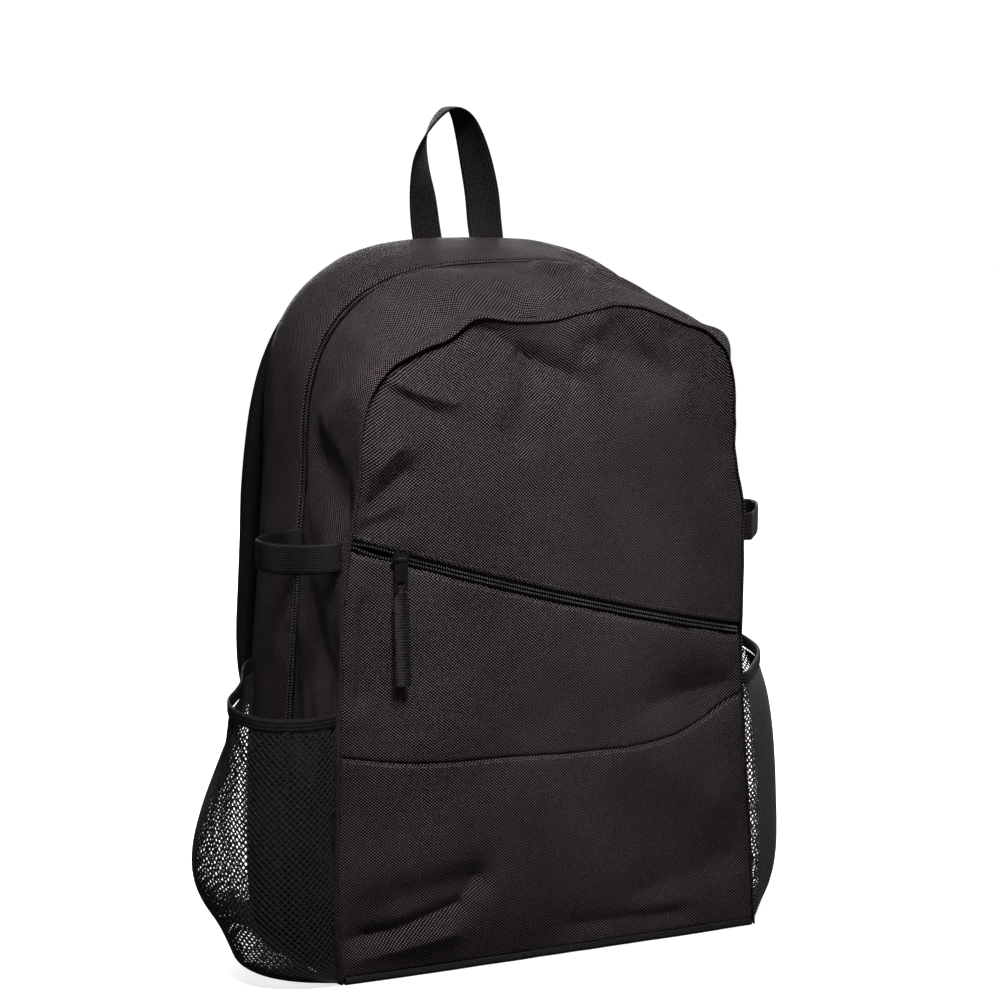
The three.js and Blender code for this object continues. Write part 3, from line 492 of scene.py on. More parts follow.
def make(name, points, faces, material, uv=None, replaces=(), slot=None, smooth=True):
    """A piece from its points in millimetres, its faces, and a place on the cloth for each point."""
    mesh = bpy.data.meshes.new(name)
    points = np.asarray(points, float).reshape(-1, 3) / 1000
    faces = np.asarray(faces, int)
    corners = faces.shape[1]
    mesh.vertices.add(len(points))
    mesh.vertices.foreach_set("co", points.ravel())
    mesh.loops.add(faces.size)
    mesh.loops.foreach_set("vertex_index", faces.ravel())
    mesh.polygons.add(len(faces))
    mesh.polygons.foreach_set("loop_start", np.arange(len(faces)) * corners)
    mesh.polygons.foreach_set("use_smooth", np.full(len(faces), smooth))
    if uv is not None:
        layer = mesh.uv_layers.new(name="UVMap")
        layer.data.foreach_set("uv", np.asarray(uv, float).reshape(-1, 2)[faces.ravel()].ravel())
    mesh.update(calc_edges=True)
    mesh.validate()
    mesh.materials.append(material)
    piece = add_object(name, mesh)
    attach(piece, "bag")
    if replaces:
        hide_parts(*replaces)
    return piece


def grid_faces(rows, columns, first=0, ring=False):
    """Faces of a grid of points, whose rows can be closed into rings."""
    i, j = np.meshgrid(np.arange(rows - 1), np.arange(columns if ring else columns - 1), indexing="ij")
    i2 = i + 1
    j2 = (j + 1) % columns
    quads = np.stack([i * columns + j, i * columns + j2, i2 * columns + j2, i2 * columns + j], -1)
    return quads.reshape(-1, 4) + first


def thicken(piece, thickness):
    """Adds a thickness in millimetres behind the outer face."""
    solid = piece.modifiers.new("thickness", "SOLIDIFY")
    solid.thickness = thickness / 1000
    solid.offset = -1


def cloth(name, node, points, uv, material, towards=INSIDE, thickness=1.1):
    """A grid of cloth in place of a node, turned outwards and thickened towards a point inside."""
    rows, columns = points.shape[:2]
    faces = grid_faces(rows, columns)
    middle = points[rows // 2, columns // 2]
    across = points[rows // 2, columns // 2 + 1] - middle
    down = points[rows // 2 + 1, columns // 2] - middle
    if np.cross(across, down) @ (np.asarray(towards) - middle) > 0:
        faces = faces[:, ::-1]
    piece = make(name, points, faces, material, uv, replaces=(node,), slot="bag_cloth")
    thicken(piece, thickness)
    return piece


def frames(points, across):
    """Unit tangent, width and outward directions along a path."""
    tangent = unit(np.gradient(points, axis=0))
    across = unit(across - (across * tangent).sum(-1, keepdims=True) * tangent)
    return tangent, across, unit(np.cross(tangent, across))


def ribbon(name, points, across, width, thickness, material, edge=0.5, bow=0.0, **how):
    """A strap along a path, with round edges; its width and thickness may change along it."""
    count = len(points)
    width = np.broadcast_to(np.asarray(width, float), (count,))[:, None]
    thick = np.broadcast_to(np.asarray(thickness, float), (count,))[:, None]
    tangent, across, up = frames(points, across)
    share = np.linspace(-1, 1, 17)[None, :]
    round_edge = (1 - np.abs(share) ** 6) ** 0.5
    lift = bow * (1 - share**2)
    flat = np.concatenate([share, share[:, ::-1][:, 1:-1]], 1)
    swell = mix(1, round_edge, edge)
    high = thick / 2 * swell + lift
    low = -thick / 2 * swell + lift
    height = np.concatenate([high, low[:, ::-1][:, 1:-1]], 1)
    aside = flat * width / 2
    ring = points[:, None] + across[:, None] * aside[..., None] + up[:, None] * height[..., None]
    v = lengths(points)[:, None] + np.zeros_like(flat)
    uv = np.stack([aside + np.zeros_like(v), v], -1)
    columns = flat.shape[1]
    faces = list(map(tuple, grid_faces(count, columns, ring=True)))
    half = columns // 2
    for end in (0, count - 1):
        base = end * columns
        for k in range(half):
            a = base + k
            b = base + k + 1
            c = base + (columns - k - 1) % columns
            d = base + (columns - k) % columns
            if len({a, b, c, d}) == 4:
                faces.append((a, b, c, d) if end else (d, c, b, a))
    return make(name, ring, faces, material, uv, **how)


def tubes(name, paths, radius, sides, material, **how):
    """Round threads along several paths, as one piece."""
    points, faces, uvs = [], [], []
    first = 0
    angles = np.arange(sides) * 2 * math.pi / sides
    for path in paths:
        path = np.asarray(path, float)
        tangent = unit(np.gradient(path, axis=0))
        helper = np.where(np.abs(tangent[:, 2:3]) > 0.9, [[1.0, 0, 0]], [[0, 0, 1.0]])
        side = unit(np.cross(tangent, helper))
        up = np.cross(side, tangent)
        ring = (
            path[:, None]
            + radius * np.cos(angles)[None, :, None] * side[:, None]
            + radius * np.sin(angles)[None, :, None] * up[:, None]
        )
        points.append(ring.reshape(-1, 3))
        faces.append(grid_faces(len(path), sides, first, ring=True))
        v = lengths(path)[:, None] + np.zeros(sides)[None]
        u = angles[None] * radius + np.zeros(len(path))[:, None]
        uvs.append(np.stack([u, v], -1).reshape(-1, 2))
        first += ring.shape[0] * sides
    uv = np.concatenate(uvs)
    return make(name, np.concatenate(points), np.concatenate(faces), material, uv, **how)


def small_pieces(name, shapes, shape_faces, material, **how):
    """Many copies of one small form, joined into a piece; each entry holds the corners of a row."""
    points, faces = [], []
    first = 0
    for spots in shapes:
        count, corners = spots.shape[:2]
        points.append(spots.reshape(-1, 3))
        base = first + corners * np.arange(count)
        each = np.array(shape_faces)[None] + base[:, None, None]
        faces.append(each.reshape(-1, len(shape_faces[0])))
        first += corners * count
    return make(name, np.concatenate(points), np.concatenate(faces), material, **how)


def stitches(name, rows, material, **how):
    """Stitches lying on a surface. Each row is its points and the outward direction at each."""
    waist = [(a, b, 0.25) for a in (-0.75, 0.75) for b in (0.8, -0.8)]
    shape = np.array([(-1, 0, 0), *waist, (1, 0, 0), (0, 0, 1)])
    shape_faces = [(0, 2, 6), (2, 4, 6), (4, 5, 6), (5, 3, 6), (3, 1, 6), (1, 0, 6)]
    local = shape * (STITCH_LENGTH / 2, STITCH_RADIUS, STITCH_RADIUS * 1.2)
    ahead, aside, above = (local[None, :, k : k + 1] for k in range(3))
    shapes = []
    for line, out in rows:
        length = lengths(line)[-1]
        count = max(1, int(length / STITCH_PITCH))
        places = (np.arange(count) + 0.5) * length / count
        shapes.append(corners_at(seats(line, out, places), ahead, aside, above))
    return small_pieces(name, shapes, shape_faces, material, **how)


# Materials


class Nodes:
    """Short calls to build a material's nodes."""

    def __init__(self, name):
        self.material = bpy.data.materials.new(name)
        self.material.use_nodes = True
        self.tree = self.material.node_tree
        self.shader = self.tree.nodes["Principled BSDF"]

    def add(self, kind, **values):
        node = self.tree.nodes.new(kind)
        for key, value in values.items():
            setattr(node, key, value)
        return node

    def link(self, start, end):
        self.tree.links.new(start, end)

    def math(self, operation, a, b=0.5):
        """One operation; MULTIPLY_ADD by 0.5 adds the 0.5 that its third socket holds."""
        node = self.add("ShaderNodeMath", operation=operation)
        for socket, value in zip(node.inputs, (a, b)):
            if isinstance(value, (int, float)):
                socket.default_value = value
            else:
                self.link(value, socket)
        return node.outputs[0]

    def place(self, solid=False):
        """The two coordinates along the cloth in millimetres, or across and up a solid."""
        parts = self.add("ShaderNodeSeparateXYZ")
        if solid:
            self.link(self.add("ShaderNodeTexCoord").outputs["Object"], parts.inputs[0])
            across = self.math("ADD", parts.outputs[0], parts.outputs[1])
            up = parts.outputs[2]
            return self.math("MULTIPLY", across, 1000.0), self.math("MULTIPLY", up, 1000.0)
        self.link(self.add("ShaderNodeUVMap", uv_map="UVMap").outputs[0], parts.inputs[0])
        return parts.outputs[0], parts.outputs[1]

    def wave(self, value, pitch):
        """A sine along a coordinate, with a period of the pitch."""
        return self.math("SINE", self.math("MULTIPLY", value, 2 * math.pi / pitch))

    def speckle(self, scale, detail=2.0):
        """Noise fixed to the piece, about 0.5 on average."""
        coordinates = self.add("ShaderNodeTexCoord")
        texture = self.add("ShaderNodeTexNoise")
        texture.inputs["Scale"].default_value = scale
        texture.inputs["Detail"].default_value = detail
        self.link(coordinates.outputs["Object"], texture.inputs["Vector"])
        return texture.outputs[0]

    def ramp(self, value, *stops):
        node = self.add("ShaderNodeValToRGB")
        ramp = node.color_ramp
        while len(ramp.elements) < len(stops):
            ramp.elements.new(0.5)
        for element, (at, color) in zip(ramp.elements, stops):
            element.position = at
            element.color = (*color, 1)
        self.link(value, node.inputs[0])
        return node.outputs[0]

    def bump(self, height, distance):
        """Relief of a distance in millimetres."""
        node = self.add("ShaderNodeBump")
        node.inputs["Distance"].default_value = distance / 1000
        self.link(height, node.inputs["Height"])
        return node.outputs[0]

    def finish(self, color, normal=None, roughness=0.7, **sockets):
        self.link(color, self.shader.inputs["Base Color"])
        if normal:
            self.link(normal, self.shader.inputs["Normal"])
        self.shader.inputs["Roughness"].default_value = roughness
        for key, value in sockets.items():
            self.shader.inputs[key.replace("_", " ")].default_value = value
        return self.material


def tone(level):
    """A dark grey with the slight violet of the dyed cloth."""
    return (level * 1.07, level * 0.87, level)


def woven(name, across, up, dark, light, relief):
    """Plain weave: threads cross over and under; the colour is light on the raised threads, a painted
    highlight, and near black between them, painted shade.
    """
    n = Nodes(name)
    u, v = n.place()
    weave = n.math("MULTIPLY", n.wave(u, 2 * across), n.wave(v, 2 * up))
    uneven = n.math("SUBTRACT", n.speckle(900.0, 1.0), 0.5)
    patch = n.math("SUBTRACT", n.speckle(14.0, 3.0), 0.5)
    height = n.math("MULTIPLY_ADD", weave, 0.5)
    shade = n.math("ADD", height, n.math("MULTIPLY", uneven, 0.4))
    shade = n.math("ADD", shade, n.math("MULTIPLY", patch, 0.2))
    # Painted highlight and shade: the colour follows the height of the weave, light on the raised
    # threads and dark between them.
    color = n.ramp(shade, (0.55, tone(dark)), (0.82, tone(light)))
    normal = n.bump(weave, relief)
    return n.finish(color, normal, roughness=0.6, Specular_IOR_Level=CLOTH_GLOSS)


def ribbed(name, cross, lengthwise, dark, light, relief, gloss=WEBBING_GLOSS, solid=False):
    """Webbing or elastic: ribs across and along, given by their pitches in millimetres; the colour is
    light on the raised ribs, a painted highlight, and dark between them, painted shade.
    """
    n = Nodes(name)
    u, v = n.place(solid)
    ribs = n.math("MULTIPLY_ADD", n.wave(v, cross), 0.5)
    cords = n.math("MULTIPLY_ADD", n.wave(u, lengthwise), 0.5)
    height = n.math("MULTIPLY", n.math("ADD", ribs, cords), 0.5)
    uneven = n.speckle(500.0, 2.0)
    shade = n.math("ADD", height, n.math("SUBTRACT", uneven, 0.5))
    # Painted highlight and shade: the colour follows the height of the ribs.
    color = n.ramp(shade, (0.3, tone(dark)), (0.85, tone(light)))
    return n.finish(color, n.bump(height, relief), roughness=0.7, Specular_IOR_Level=gloss)


def thread(name, dark, light, pitch=1.2):
    """Twisted thread or net yarn."""
    n = Nodes(name)
    u, v = n.place()
    twist = n.wave(n.math("ADD", v, u), pitch)
    uneven = n.speckle(700.0, 2.0)
    color = n.ramp(uneven, (0.3, tone(dark)), (0.75, tone(light)))
    return n.finish(color, n.bump(twist, 0.05), roughness=0.65)


def plain(name, dark, light, rough, scale=60.0, relief=0.02, coat=0.0):
    """Moulded plastic, coil or enamel: even, with faint marks."""
    n = Nodes(name)
    marks = n.speckle(scale, 3.0)
    color = n.ramp(marks, (0.3, (dark,) * 3), (0.7, (light,) * 3))
    return n.finish(color, n.bump(marks, relief), roughness=rough, Coat_Weight=coat)


# The light levels of the two woven cloths are painted highlights on their raised threads.
bag_cloth = woven("bag_cloth", WEAVE_ACROSS, WEAVE_UP, dark=0.0004, light=0.145, relief=0.25)
smooth_cloth = woven("smooth_cloth", 0.7, 0.7, dark=0.002, light=0.03, relief=0.1)
webbing_look = ribbed("webbing", 1.5, 2.2, dark=0.0008, light=0.022, relief=0.25)
tab_look = ribbed("tab_webbing", 1.9, 9.0, dark=0.0006, light=0.03, relief=0.2, solid=True)
elastic_look = ribbed("elastic", 40.0, 1.7, dark=0.001, light=0.016, relief=0.25)
# The tape is near black, darker than the cloth: its own black deepened by painted shade of the dark
# bands beside the coil.
tape_look = ribbed("zipper_tape", 0.8, 0.8, dark=0.0003, light=0.003, relief=0.1, gloss=CLOTH_GLOSS)
binding_look = ribbed("binding", 1.1, 2.6, dark=0.001, light=0.02, relief=0.2)
net_look = thread("net_yarn", dark=0.001, light=0.014)
stitch_look = thread("sewing_thread", dark=0.02, light=0.09, pitch=0.8)
# The coil is coloured grey, lighter than the black cloth: a painted highlight on its teeth.
coil_look = plain("zipper_coil", dark=0.06, light=0.13, rough=0.3)
metal_look = plain("slider_enamel", 0.004, 0.008, rough=0.16, scale=90.0, relief=0.01, coat=0.6)
plastic_look = plain("adjuster_plastic", 0.008, 0.013, rough=0.42, scale=200.0)

# Front: the crowned panels with their fine relief

front_top = crown_height(FRONT_Y) - CLOTH
PANEL_INSET = CLOTH - 0.3
BACK_INSET = CLOTH + 2 * SEAM_GAP
front_spans = np.array([BASE_HALF, BAG_HEIGHT])
band_spans = np.array([BAG_DEPTH, BAG_HEIGHT])
crown_spans = np.array([BASE_HALF, BAG_DEPTH])
fine_front_folds = table("""
    u v u2 v2 width depth
    -0.37 0.9 -0.15 0.862 0.55 0.6
    -0.15 0.862 0.06 0.82 0.6 0.9
    0.06 0.82 0.13 0.862 0.4 0.5
    0.17 0.9 0.15 0.84 0.5 -0.55
    -0.78 0.835 -0.68 0.813 0.35 -0.5
    -0.68 0.813 -0.5 0.795 0.35 -0.4
    -0.76 0.815 -0.55 0.78 0.4 0.35
    0.3 0.885 0.42 0.84 0.45 0.3
    0.52 0.875 0.56 0.82 0.45 0.35
    -0.9 0.683 -0.73 0.735 0.45 -0.6
    -0.84 0.66 -0.7 0.7 0.4 0.5
    -0.92 0.62 -0.76 0.64 0.4 0.35
    -0.93 0.55 -0.95 0.37 0.35 -0.45
    -0.88 0.52 -0.9 0.4 0.4 0.25
    0.42 0.35 0.84 0.365 0.6 0.35
    -0.98 0.06 -0.74 0.066 0.4 0.9
    -0.74 0.066 -0.46 0.094 0.4 0.8
    -0.46 0.094 -0.38 0.13 0.4 0.5
    -0.95 0.03 -0.5 0.055 0.45 -0.55
    0.4 0.075 0.86 0.11 0.8 0.35
    0.1 0.04 0.6 0.035 0.5 0.35
""")
fine_crown_folds = table("""
    u v u2 v2 width depth
    -0.12 -0.31 -0.08 -0.49 0.45 0.8
    0.13 -0.4 0.17 -0.165 0.5 0.9
    0.08 -0.29 0.016 -0.165 0.4 0.6
    -0.5 -0.2 -0.42 -0.42 0.5 0.5
    -0.3 -0.12 -0.36 -0.3 0.45 -0.4
    0.42 -0.18 0.36 -0.45 0.5 0.5
    0.6 -0.16 0.64 -0.42 0.5 0.6
    0.28 -0.1 0.3 -0.26 0.4 -0.4
""")
edge_rows = table("""
    x rise
    -0.95 0.3
    -0.83 0.9
    -0.61 -1.1
    -0.47 -1.25
    -0.36 0.3
    -0.18 -1.25
    -0.01 -1.4
    0.18 0.25
    0.33 0.9
    0.56 -0.75
    0.71 -0.4
    0.83 1.1
    0.93 1.5
    1 0.3
""")
slider_x = FRONT_SLIDER_INSET - BASE_HALF


def zipper_height(x):
    return FRONT_ZIPPER_HEIGHT - FRONT_ZIPPER_SLOPE * x + FRONT_ZIPPER_BOW * (x / BASE_HALF) ** 2


def seam_height(x):
    return BAG_HEIGHT * read(seam_rows, "x", np.asarray(x) / BASE_HALF, "z")


def front_half(x, z):
    """Half width of the front at a height, on the side that x is on."""
    return half_width(x, np.minimum(z, front_top - 1), FRONT_Y, PANEL_INSET)


def front_dome(x, z):
    """How far the front bulges: 1 in the middle and 0 at its edges."""
    across = np.clip(x / front_half(x, z), -1, 1)
    up = np.clip(2 * z / front_top - 1, -1, 1)
    return (1 - np.abs(across) ** 3) * (1 - np.abs(up) ** 5)


def front_relief(x, z):
    """Small waves of the cloth: puckers beside the seams, and broad soft ones."""
    to_zipper = np.abs(z - zipper_height(x))
    to_seam = np.abs(z - seam_height(x))
    to_edge = np.minimum(front_half(x, z) - np.abs(x), np.minimum(z, front_top - z))
    waves = 0.55 * np.exp(-to_zipper / 11) * noise(x, z * 0.2, 9, 1)
    waves += 0.5 * np.exp(-to_seam / 9) * noise(x, z * 0.2, 8, 2)
    waves += 0.9 * np.exp(-np.maximum(to_edge, 0) / 12) * noise(x, z, 15, 3)
    waves += 1.8 * noise(x, z, 62, 4) + 0.6 * noise(x, z, 27, 5)
    dips = 1.3 * bell(to_zipper, 7) + 0.7 * bell(to_seam, 2.2)
    return waves * np.minimum(1, 0.3 + 2 * front_dome(x, z)) + dips


def arch_height(x):
    """Height of the sewn edge over a place across the front."""
    power = arch_power(x, FRONT_Y)
    across = np.minimum(np.abs(x) / half_width(x, SHOULDER, FRONT_Y, PANEL_INSET), 1)
    return SHOULDER + (front_top - SHOULDER) * (1 - across**power) ** (1 / power)


def wander(points):
    """The sewn edge of the upper front rises and dips, and wanders a little."""
    x, y, z = (points[..., k] for k in range(3))
    near = grows(-y, 25, 40)
    free = grows(z - zipper_height(x), 30, 50)
    felt = np.exp(-np.maximum(arch_height(x) - z, 0) / 30)
    rise = FOLD_DEPTH * read(edge_rows, "x", x / BASE_HALF, "rise") * felt
    shift_x = 1.2 * noise(x, z, 31, 61) + 0.9 * noise(x, z, 13, 62)
    shift_z = rise + 0.9 * noise(x, z, 14, 64)
    return points + (near * free)[..., None] * np.stack([shift_x, 0 * x, shift_z], -1)


def arch_edge(x, z):
    """Distance inside the sewn edge of the arch."""
    return np.minimum(front_half(x, z) - np.abs(x), arch_height(x) - z)


def front_surface(x, z):
    """Points of the front, with its bulge, folds, waves and the tuck under its upper left edge."""
    dome = front_dome(x, z)
    fine = creased(fine_front_folds, x, z, front_spans, 1.25 * FOLD_WIDTH, FINE_FOLD_DEPTH)
    big = 1.4 * pressed(front_folds, x, z, front_spans)
    tucked = grows(-x / BASE_HALF, 0.33, 0.08) * grows(z - SHOULDER, 10, 25)
    tuck = TUCK_DEPTH * tucked * bell(np.maximum(arch_edge(x, z), 0), TUCK_WIDTH)
    folds = big * np.minimum(1, 2 * dome) + fine * np.minimum(1, 5 * dome)
    y = FRONT_Y - FRONT_CROWN * dome + folds + front_relief(x, z) + tuck
    return wander(np.stack([x, y, z], -1))


def meet(share, curve):
    """The height where the line at a share of the half width meets a curve across the front."""
    z = curve(0 * share)
    for _ in range(12):
        z = curve(share * half_width(share, z, FRONT_Y, PANEL_INSET))
    return z


def front_panel(name, low, high, rows):
    """A front panel between two curves, with its edges turned under."""
    share = np.linspace(-1, 1, 230)
    bottom = meet(share, low)
    top = meet(share, high)
    z = mix(bottom[None], top[None], np.linspace(0, 1, rows)[:, None])
    x = share[None] * half_width(share[None] + 0 * z, z, FRONT_Y, PANEL_INSET)
    points = front_surface(x, z)
    points[..., 1] += 0.8 * bell(np.minimum(z - bottom, top - z), 0.9)
    cloth(name + "_cloth", name, points, np.stack([x, z], -1), bag_cloth)


front_panel(
    "front_panel_upper",
    lambda x: zipper_height(x) + ZIPPER_HALF - ZIPPER_LAP,
    lambda x: front_top - 1 + 0 * x,
    170,
)
front_panel(
    "front_panel_middle",
    lambda x: seam_height(x) + 0.1,
    lambda x: zipper_height(x) - ZIPPER_HALF + ZIPPER_LAP,
    100,
)
front_panel(
    "front_panel_lower",
    lambda x: 1.6 * PIPING_RADIUS + 0 * x,
    lambda x: seam_height(x) - 0.1,
    110,
)


def front_line(share, curve, out=0.0):
    """A line across the front on a curve, and its outward direction."""
    x = share * half_width(share, meet(share, curve), FRONT_Y, PANEL_INSET)
    z = curve(x)
    here = front_surface(x, z)
    right = front_surface(x + 1, z)
    above = front_surface(x, z + 1)
    normal = unit(np.cross(right - here, above - here))
    return here + out * normal, normal


across = np.linspace(-0.985, 0.985, 260)
stitches(
    "front_stitches",
    [
        front_line(across, lambda x: zipper_height(x) + ZIPPER_HALF + STITCH_INSET, 0.05),
        front_line(across, lambda x: zipper_height(x) - ZIPPER_HALF - STITCH_INSET, 0.05),
        front_line(across, lambda x: seam_height(x) - SEAM_STITCH_INSET, 0.05),
    ],
    stitch_look,
    slot="bag_cloth",
)

# Front zipper: two tapes, open left of the slider, and the coil teeth


def coil(name, line, out, gap):
    """Teeth of a coil zipper on both sides of a line, with the gap between them at each point."""
    box = np.array([(a, b, c) for a in (-1, 1) for b in (-1, 1) for c in (0, 1)], float)
    box_faces = [(0, 1, 3, 2), (4, 6, 7, 5), (0, 4, 5, 1), (2, 3, 7, 6), (1, 5, 7, 3), (0, 2, 6, 4)]
    ahead, aside, above = (box[None, :, k : k + 1] for k in range(3))
    taper = np.where(above > 0.5, TOOTH_TAPER, 1.0)
    at = lengths(line)
    shapes = []
    for side in (-1, 1):
        places = np.arange(COIL_PITCH / 2 * (side > 0), at[-1], COIL_PITCH)
        open_by = np.interp(places, at, gap)[:, None, None]
        middle = open_by / 2 + TOOTH_INSET + COIL_HALF / 2
        reach = side * middle + aside * (COIL_HALF / 2) * taper
        seat = seats(line, out, places)
        forward = ahead * TOOTH_HALF_LENGTH * taper
        shapes.append(corners_at(seat, forward, reach, above * TOOTH_HEIGHT))
    small_pieces(name, shapes, box_faces, coil_look, smooth=False, slot="zipper_coil")


def tape(name, line, out, gap, inner, outer, side, **how):
    """One flat tape of a zipper, from an inner to an outer distance beside its middle line."""
    tangent = unit(np.gradient(line, axis=0))
    sideways = np.cross(out, tangent)
    share = np.linspace(0, 1, 6)[None, :, None]
    reach = side * (gap[:, None, None] / 2 + mix(inner, outer, share))
    points = line[:, None] + sideways[:, None] * reach - out[:, None] * 0.3
    uv = np.stack([reach[..., 0], lengths(line)[:, None] + 0 * reach[..., 0]], -1)
    faces = grid_faces(*points.shape[:2])
    if side < 0:
        faces = faces[:, ::-1]
    thicken(make(name, points, faces, tape_look, uv, slot="zipper_coil", **how), TAPE_THICKNESS)


zip_line, zip_out = front_line(np.linspace(-0.985, 0.985, 320), zipper_height, -0.2)
open_share = grows(slider_x - zip_line[:, 0], 0, 26)
zip_gap = 2.6 * np.sin(math.pi * open_share**0.8) ** 0.7
tape("front_zipper_upper_tape", zip_line, zip_out, zip_gap, 0.2, 5.6, 1, replaces=("front_zipper",))
tape("front_zipper_lower_tape", zip_line, zip_out, zip_gap, 0.2, 5.6, -1)
coil("front_zipper_coil", zip_line, zip_out, zip_gap)

# Bands: the side and top cloth in front of and behind the main zipper


def band_surface(x, z, y, fine):
    """Points of a band, pressed by the big folds and waved by fine ones."""
    soft = pressed(crown_folds, x, y, crown_spans)
    sharp = creased(fine_crown_folds, x, y, crown_spans, 1.3 * FOLD_WIDTH, CROWN_CREASE_DEPTH)
    crown = np.where(z > SHOULDER, soft + sharp, 0)
    left = pressed(left_folds, y, z, band_spans)
    right = pressed(right_folds, y, z, band_spans)
    fade = grows(np.minimum(y - FRONT_Y, ZIPPER_FRONT - y), 0, 0.085 * BAG_DEPTH)
    depth = (crown + np.where(x < 0, left, right)) * fade + fine
    out = unit(np.stack([x, 0 * x, z - np.minimum(z, SHOULDER)], -1))
    return wander(np.stack([x, y, z], -1) - out * depth[..., None])


def band(name, depths, waves):
    """A band through a row of depths, which may change with the height."""
    columns = []
    for depth in depths:
        x, z = outline(depth if np.isscalar(depth) else depth(BAG_HEIGHT), 0, FLOOR_GAP)
        y = np.full_like(x, depth) if np.isscalar(depth) else depth(z)
        columns.append((x, z, y))
    x, z, y = (np.array([c[k] for c in columns]) for k in range(3))
    around = np.array([lengths(np.stack([x[i], z[i]], -1)) for i in range(len(x))])
    around -= around[:, around.shape[1] // 2][:, None]
    points = band_surface(x, z, y, waves(around, y))
    uv = np.stack([around.mean(0)[None] + 0 * y, y], -1)
    cloth(name + "_cloth", name, points, uv, bag_cloth)


def behind_zipper(z):
    """The rear edge of the front band, which closes on the rear band below the zipper's ends."""
    return np.where(z < MAIN_ZIPPER_END + 3, ZIPPER_BACK - SEAM_GAP, ZIPPER_FRONT + 0.6)


def band_waves(to_seam, puckers, soft, tuck):
    """Puckers close to a seam, soft waves away from it, and the cloth turned under at its edge."""
    waves = np.exp(-np.maximum(to_seam, 0) / 9) * puckers + soft
    return waves * np.clip((to_seam + 1) / 6, 0.1, 1) + 1.1 * bell(tuck, 0.9)


def front_waves(u, y):
    to_seam = np.minimum(y - FRONT_Y, ZIPPER_FRONT - y)
    soft = 2.2 * noise(u, y, 34, 12) + 1.0 * noise(u, y, 15, 13)
    return band_waves(to_seam, noise(u, y * 0.3, 10, 11), soft, ZIPPER_FRONT + 0.6 - y)


def rear_waves(u, y):
    to_seam = np.minimum(y - ZIPPER_BACK, BACK_Y - y)
    soft = 1.0 * noise(u, y, 40, 22) + 0.4 * noise(u, y, 18, 23)
    return band_waves(to_seam, 0.8 * noise(u, y * 0.3, 10, 21), soft, y - ZIPPER_BACK + 0.6)


front_even = np.linspace(FRONT_Y - 1.5, ZIPPER_FRONT - 2, 44)
rear_even = np.linspace(ZIPPER_BACK + 1.5, BACK_Y, 44)
front_depths = [FRONT_Y - FRONT_LIP, *front_even, lambda z: behind_zipper(z) - 1, behind_zipper]
band("front_gusset", front_depths, front_waves)
band("rear_gusset", [ZIPPER_BACK - 0.6, ZIPPER_BACK + 0.4, *rear_even], rear_waves)

# Main zipper over the crown
mx, mz = outline(MAIN_ZIPPER_Y, 0, MAIN_ZIPPER_END + 6, 160, 220)
main_line = resampled(np.stack([mx, np.full_like(mx, MAIN_ZIPPER_Y), mz], -1), 560)
main_tangent = unit(np.gradient(main_line, axis=0))
main_out = np.stack([-main_tangent[:, 2], 0 * main_tangent[:, 1], main_tangent[:, 0]], -1)
main_line = main_line - 1.2 * main_out
no_gap = np.zeros(len(main_line))
tape("main_zipper_front_tape", main_line, main_out, no_gap, 0.1, 5.4, 1, replaces=("main_zipper",))
tape("main_zipper_rear_tape", main_line, main_out, no_gap, 0.1, 5.4, -1)
coil("main_zipper_coil", main_line, main_out, no_gap)

# Cloth behind the front pocket, bottom, back and piping
sheet_x, sheet_z = outline(POCKET_CLOTH_Y, CLOTH + SEAM_GAP + 5.5, BOTTOM + SEAM_GAP)
half_count = len(sheet_x) // 2
left_edge = np.stack([sheet_x[: half_count + 1], sheet_z[: half_count + 1]], -1)
right_edge = np.stack([sheet_x[::-1][: half_count + 1], sheet_z[::-1][: half_count + 1]], -1)
t = np.linspace(0, 1, 60)[None, :, None]
flat = mix(left_edge[:, None], right_edge[:, None], t)
depth = POCKET_CLOTH_Y + CLOTH / 2 + 0.4 * noise(flat[..., 0], flat[..., 1], 40, 31)
sheet_points = np.stack([flat[..., 0], depth, flat[..., 1]], -1)
behind_sheet = (0, 200, 250)
cloth(
    "front_pocket_sheet", "front_pocket_backing", sheet_points, flat, smooth_cloth, behind_sheet, 0.8
)

back_top = crown_height(BACK_Y) - BACK_INSET


def back_depth(x, z):
    """Where the outside of the back is, with its crown."""
    half = half_width(x, np.minimum(z, back_top - 1), BACK_Y, BACK_INSET)
    across = np.clip(x / half, -1, 1)
    up = np.clip(2 * z / back_top - 1, -1, 1)
    return BACK_Y + BACK_CROWN * (1 - across**4) * (1 - up**6)


straight = np.linspace(BOTTOM + SEAM_GAP, SHOULDER, 120)
arched = mix(SHOULDER, back_top, np.sin(np.linspace(0, math.pi / 2, 60)[1:]) * 0.999)
share = np.linspace(-1, 1, 150)
z = np.concatenate([straight, arched])[:, None] + 0 * share[None]
x = share[None] * half_width(share[None] + 0 * z, z, BACK_Y, BACK_INSET)
middle_groove = 1.2 * (1 - np.minimum(np.abs(x) / 8, 1) ** 0.5)
y = back_depth(x, z) - middle_groove + 0.5 * noise(x, z, 45, 41)
back_points = np.stack([x, y, z], -1)
back_pad = cloth(
    "back_padding", "back_panel", back_points, np.stack([x, z], -1), smooth_cloth, thickness=4.5
)

depths = np.linspace(FRONT_Y + 2, BACK_Y - 2, 50)
half = half_width(1, FLOOR_GAP, depths, BACK_INSET)
base_x = np.linspace(-1, 1, 90)[None] * half[:, None]
base_y = depths[:, None] + 0 * base_x
base = np.stack([base_x, base_y, 0 * base_x], -1)
cloth("bottom_cloth", "bottom_panel", base, base[..., :2], bag_cloth, thickness=2.6)

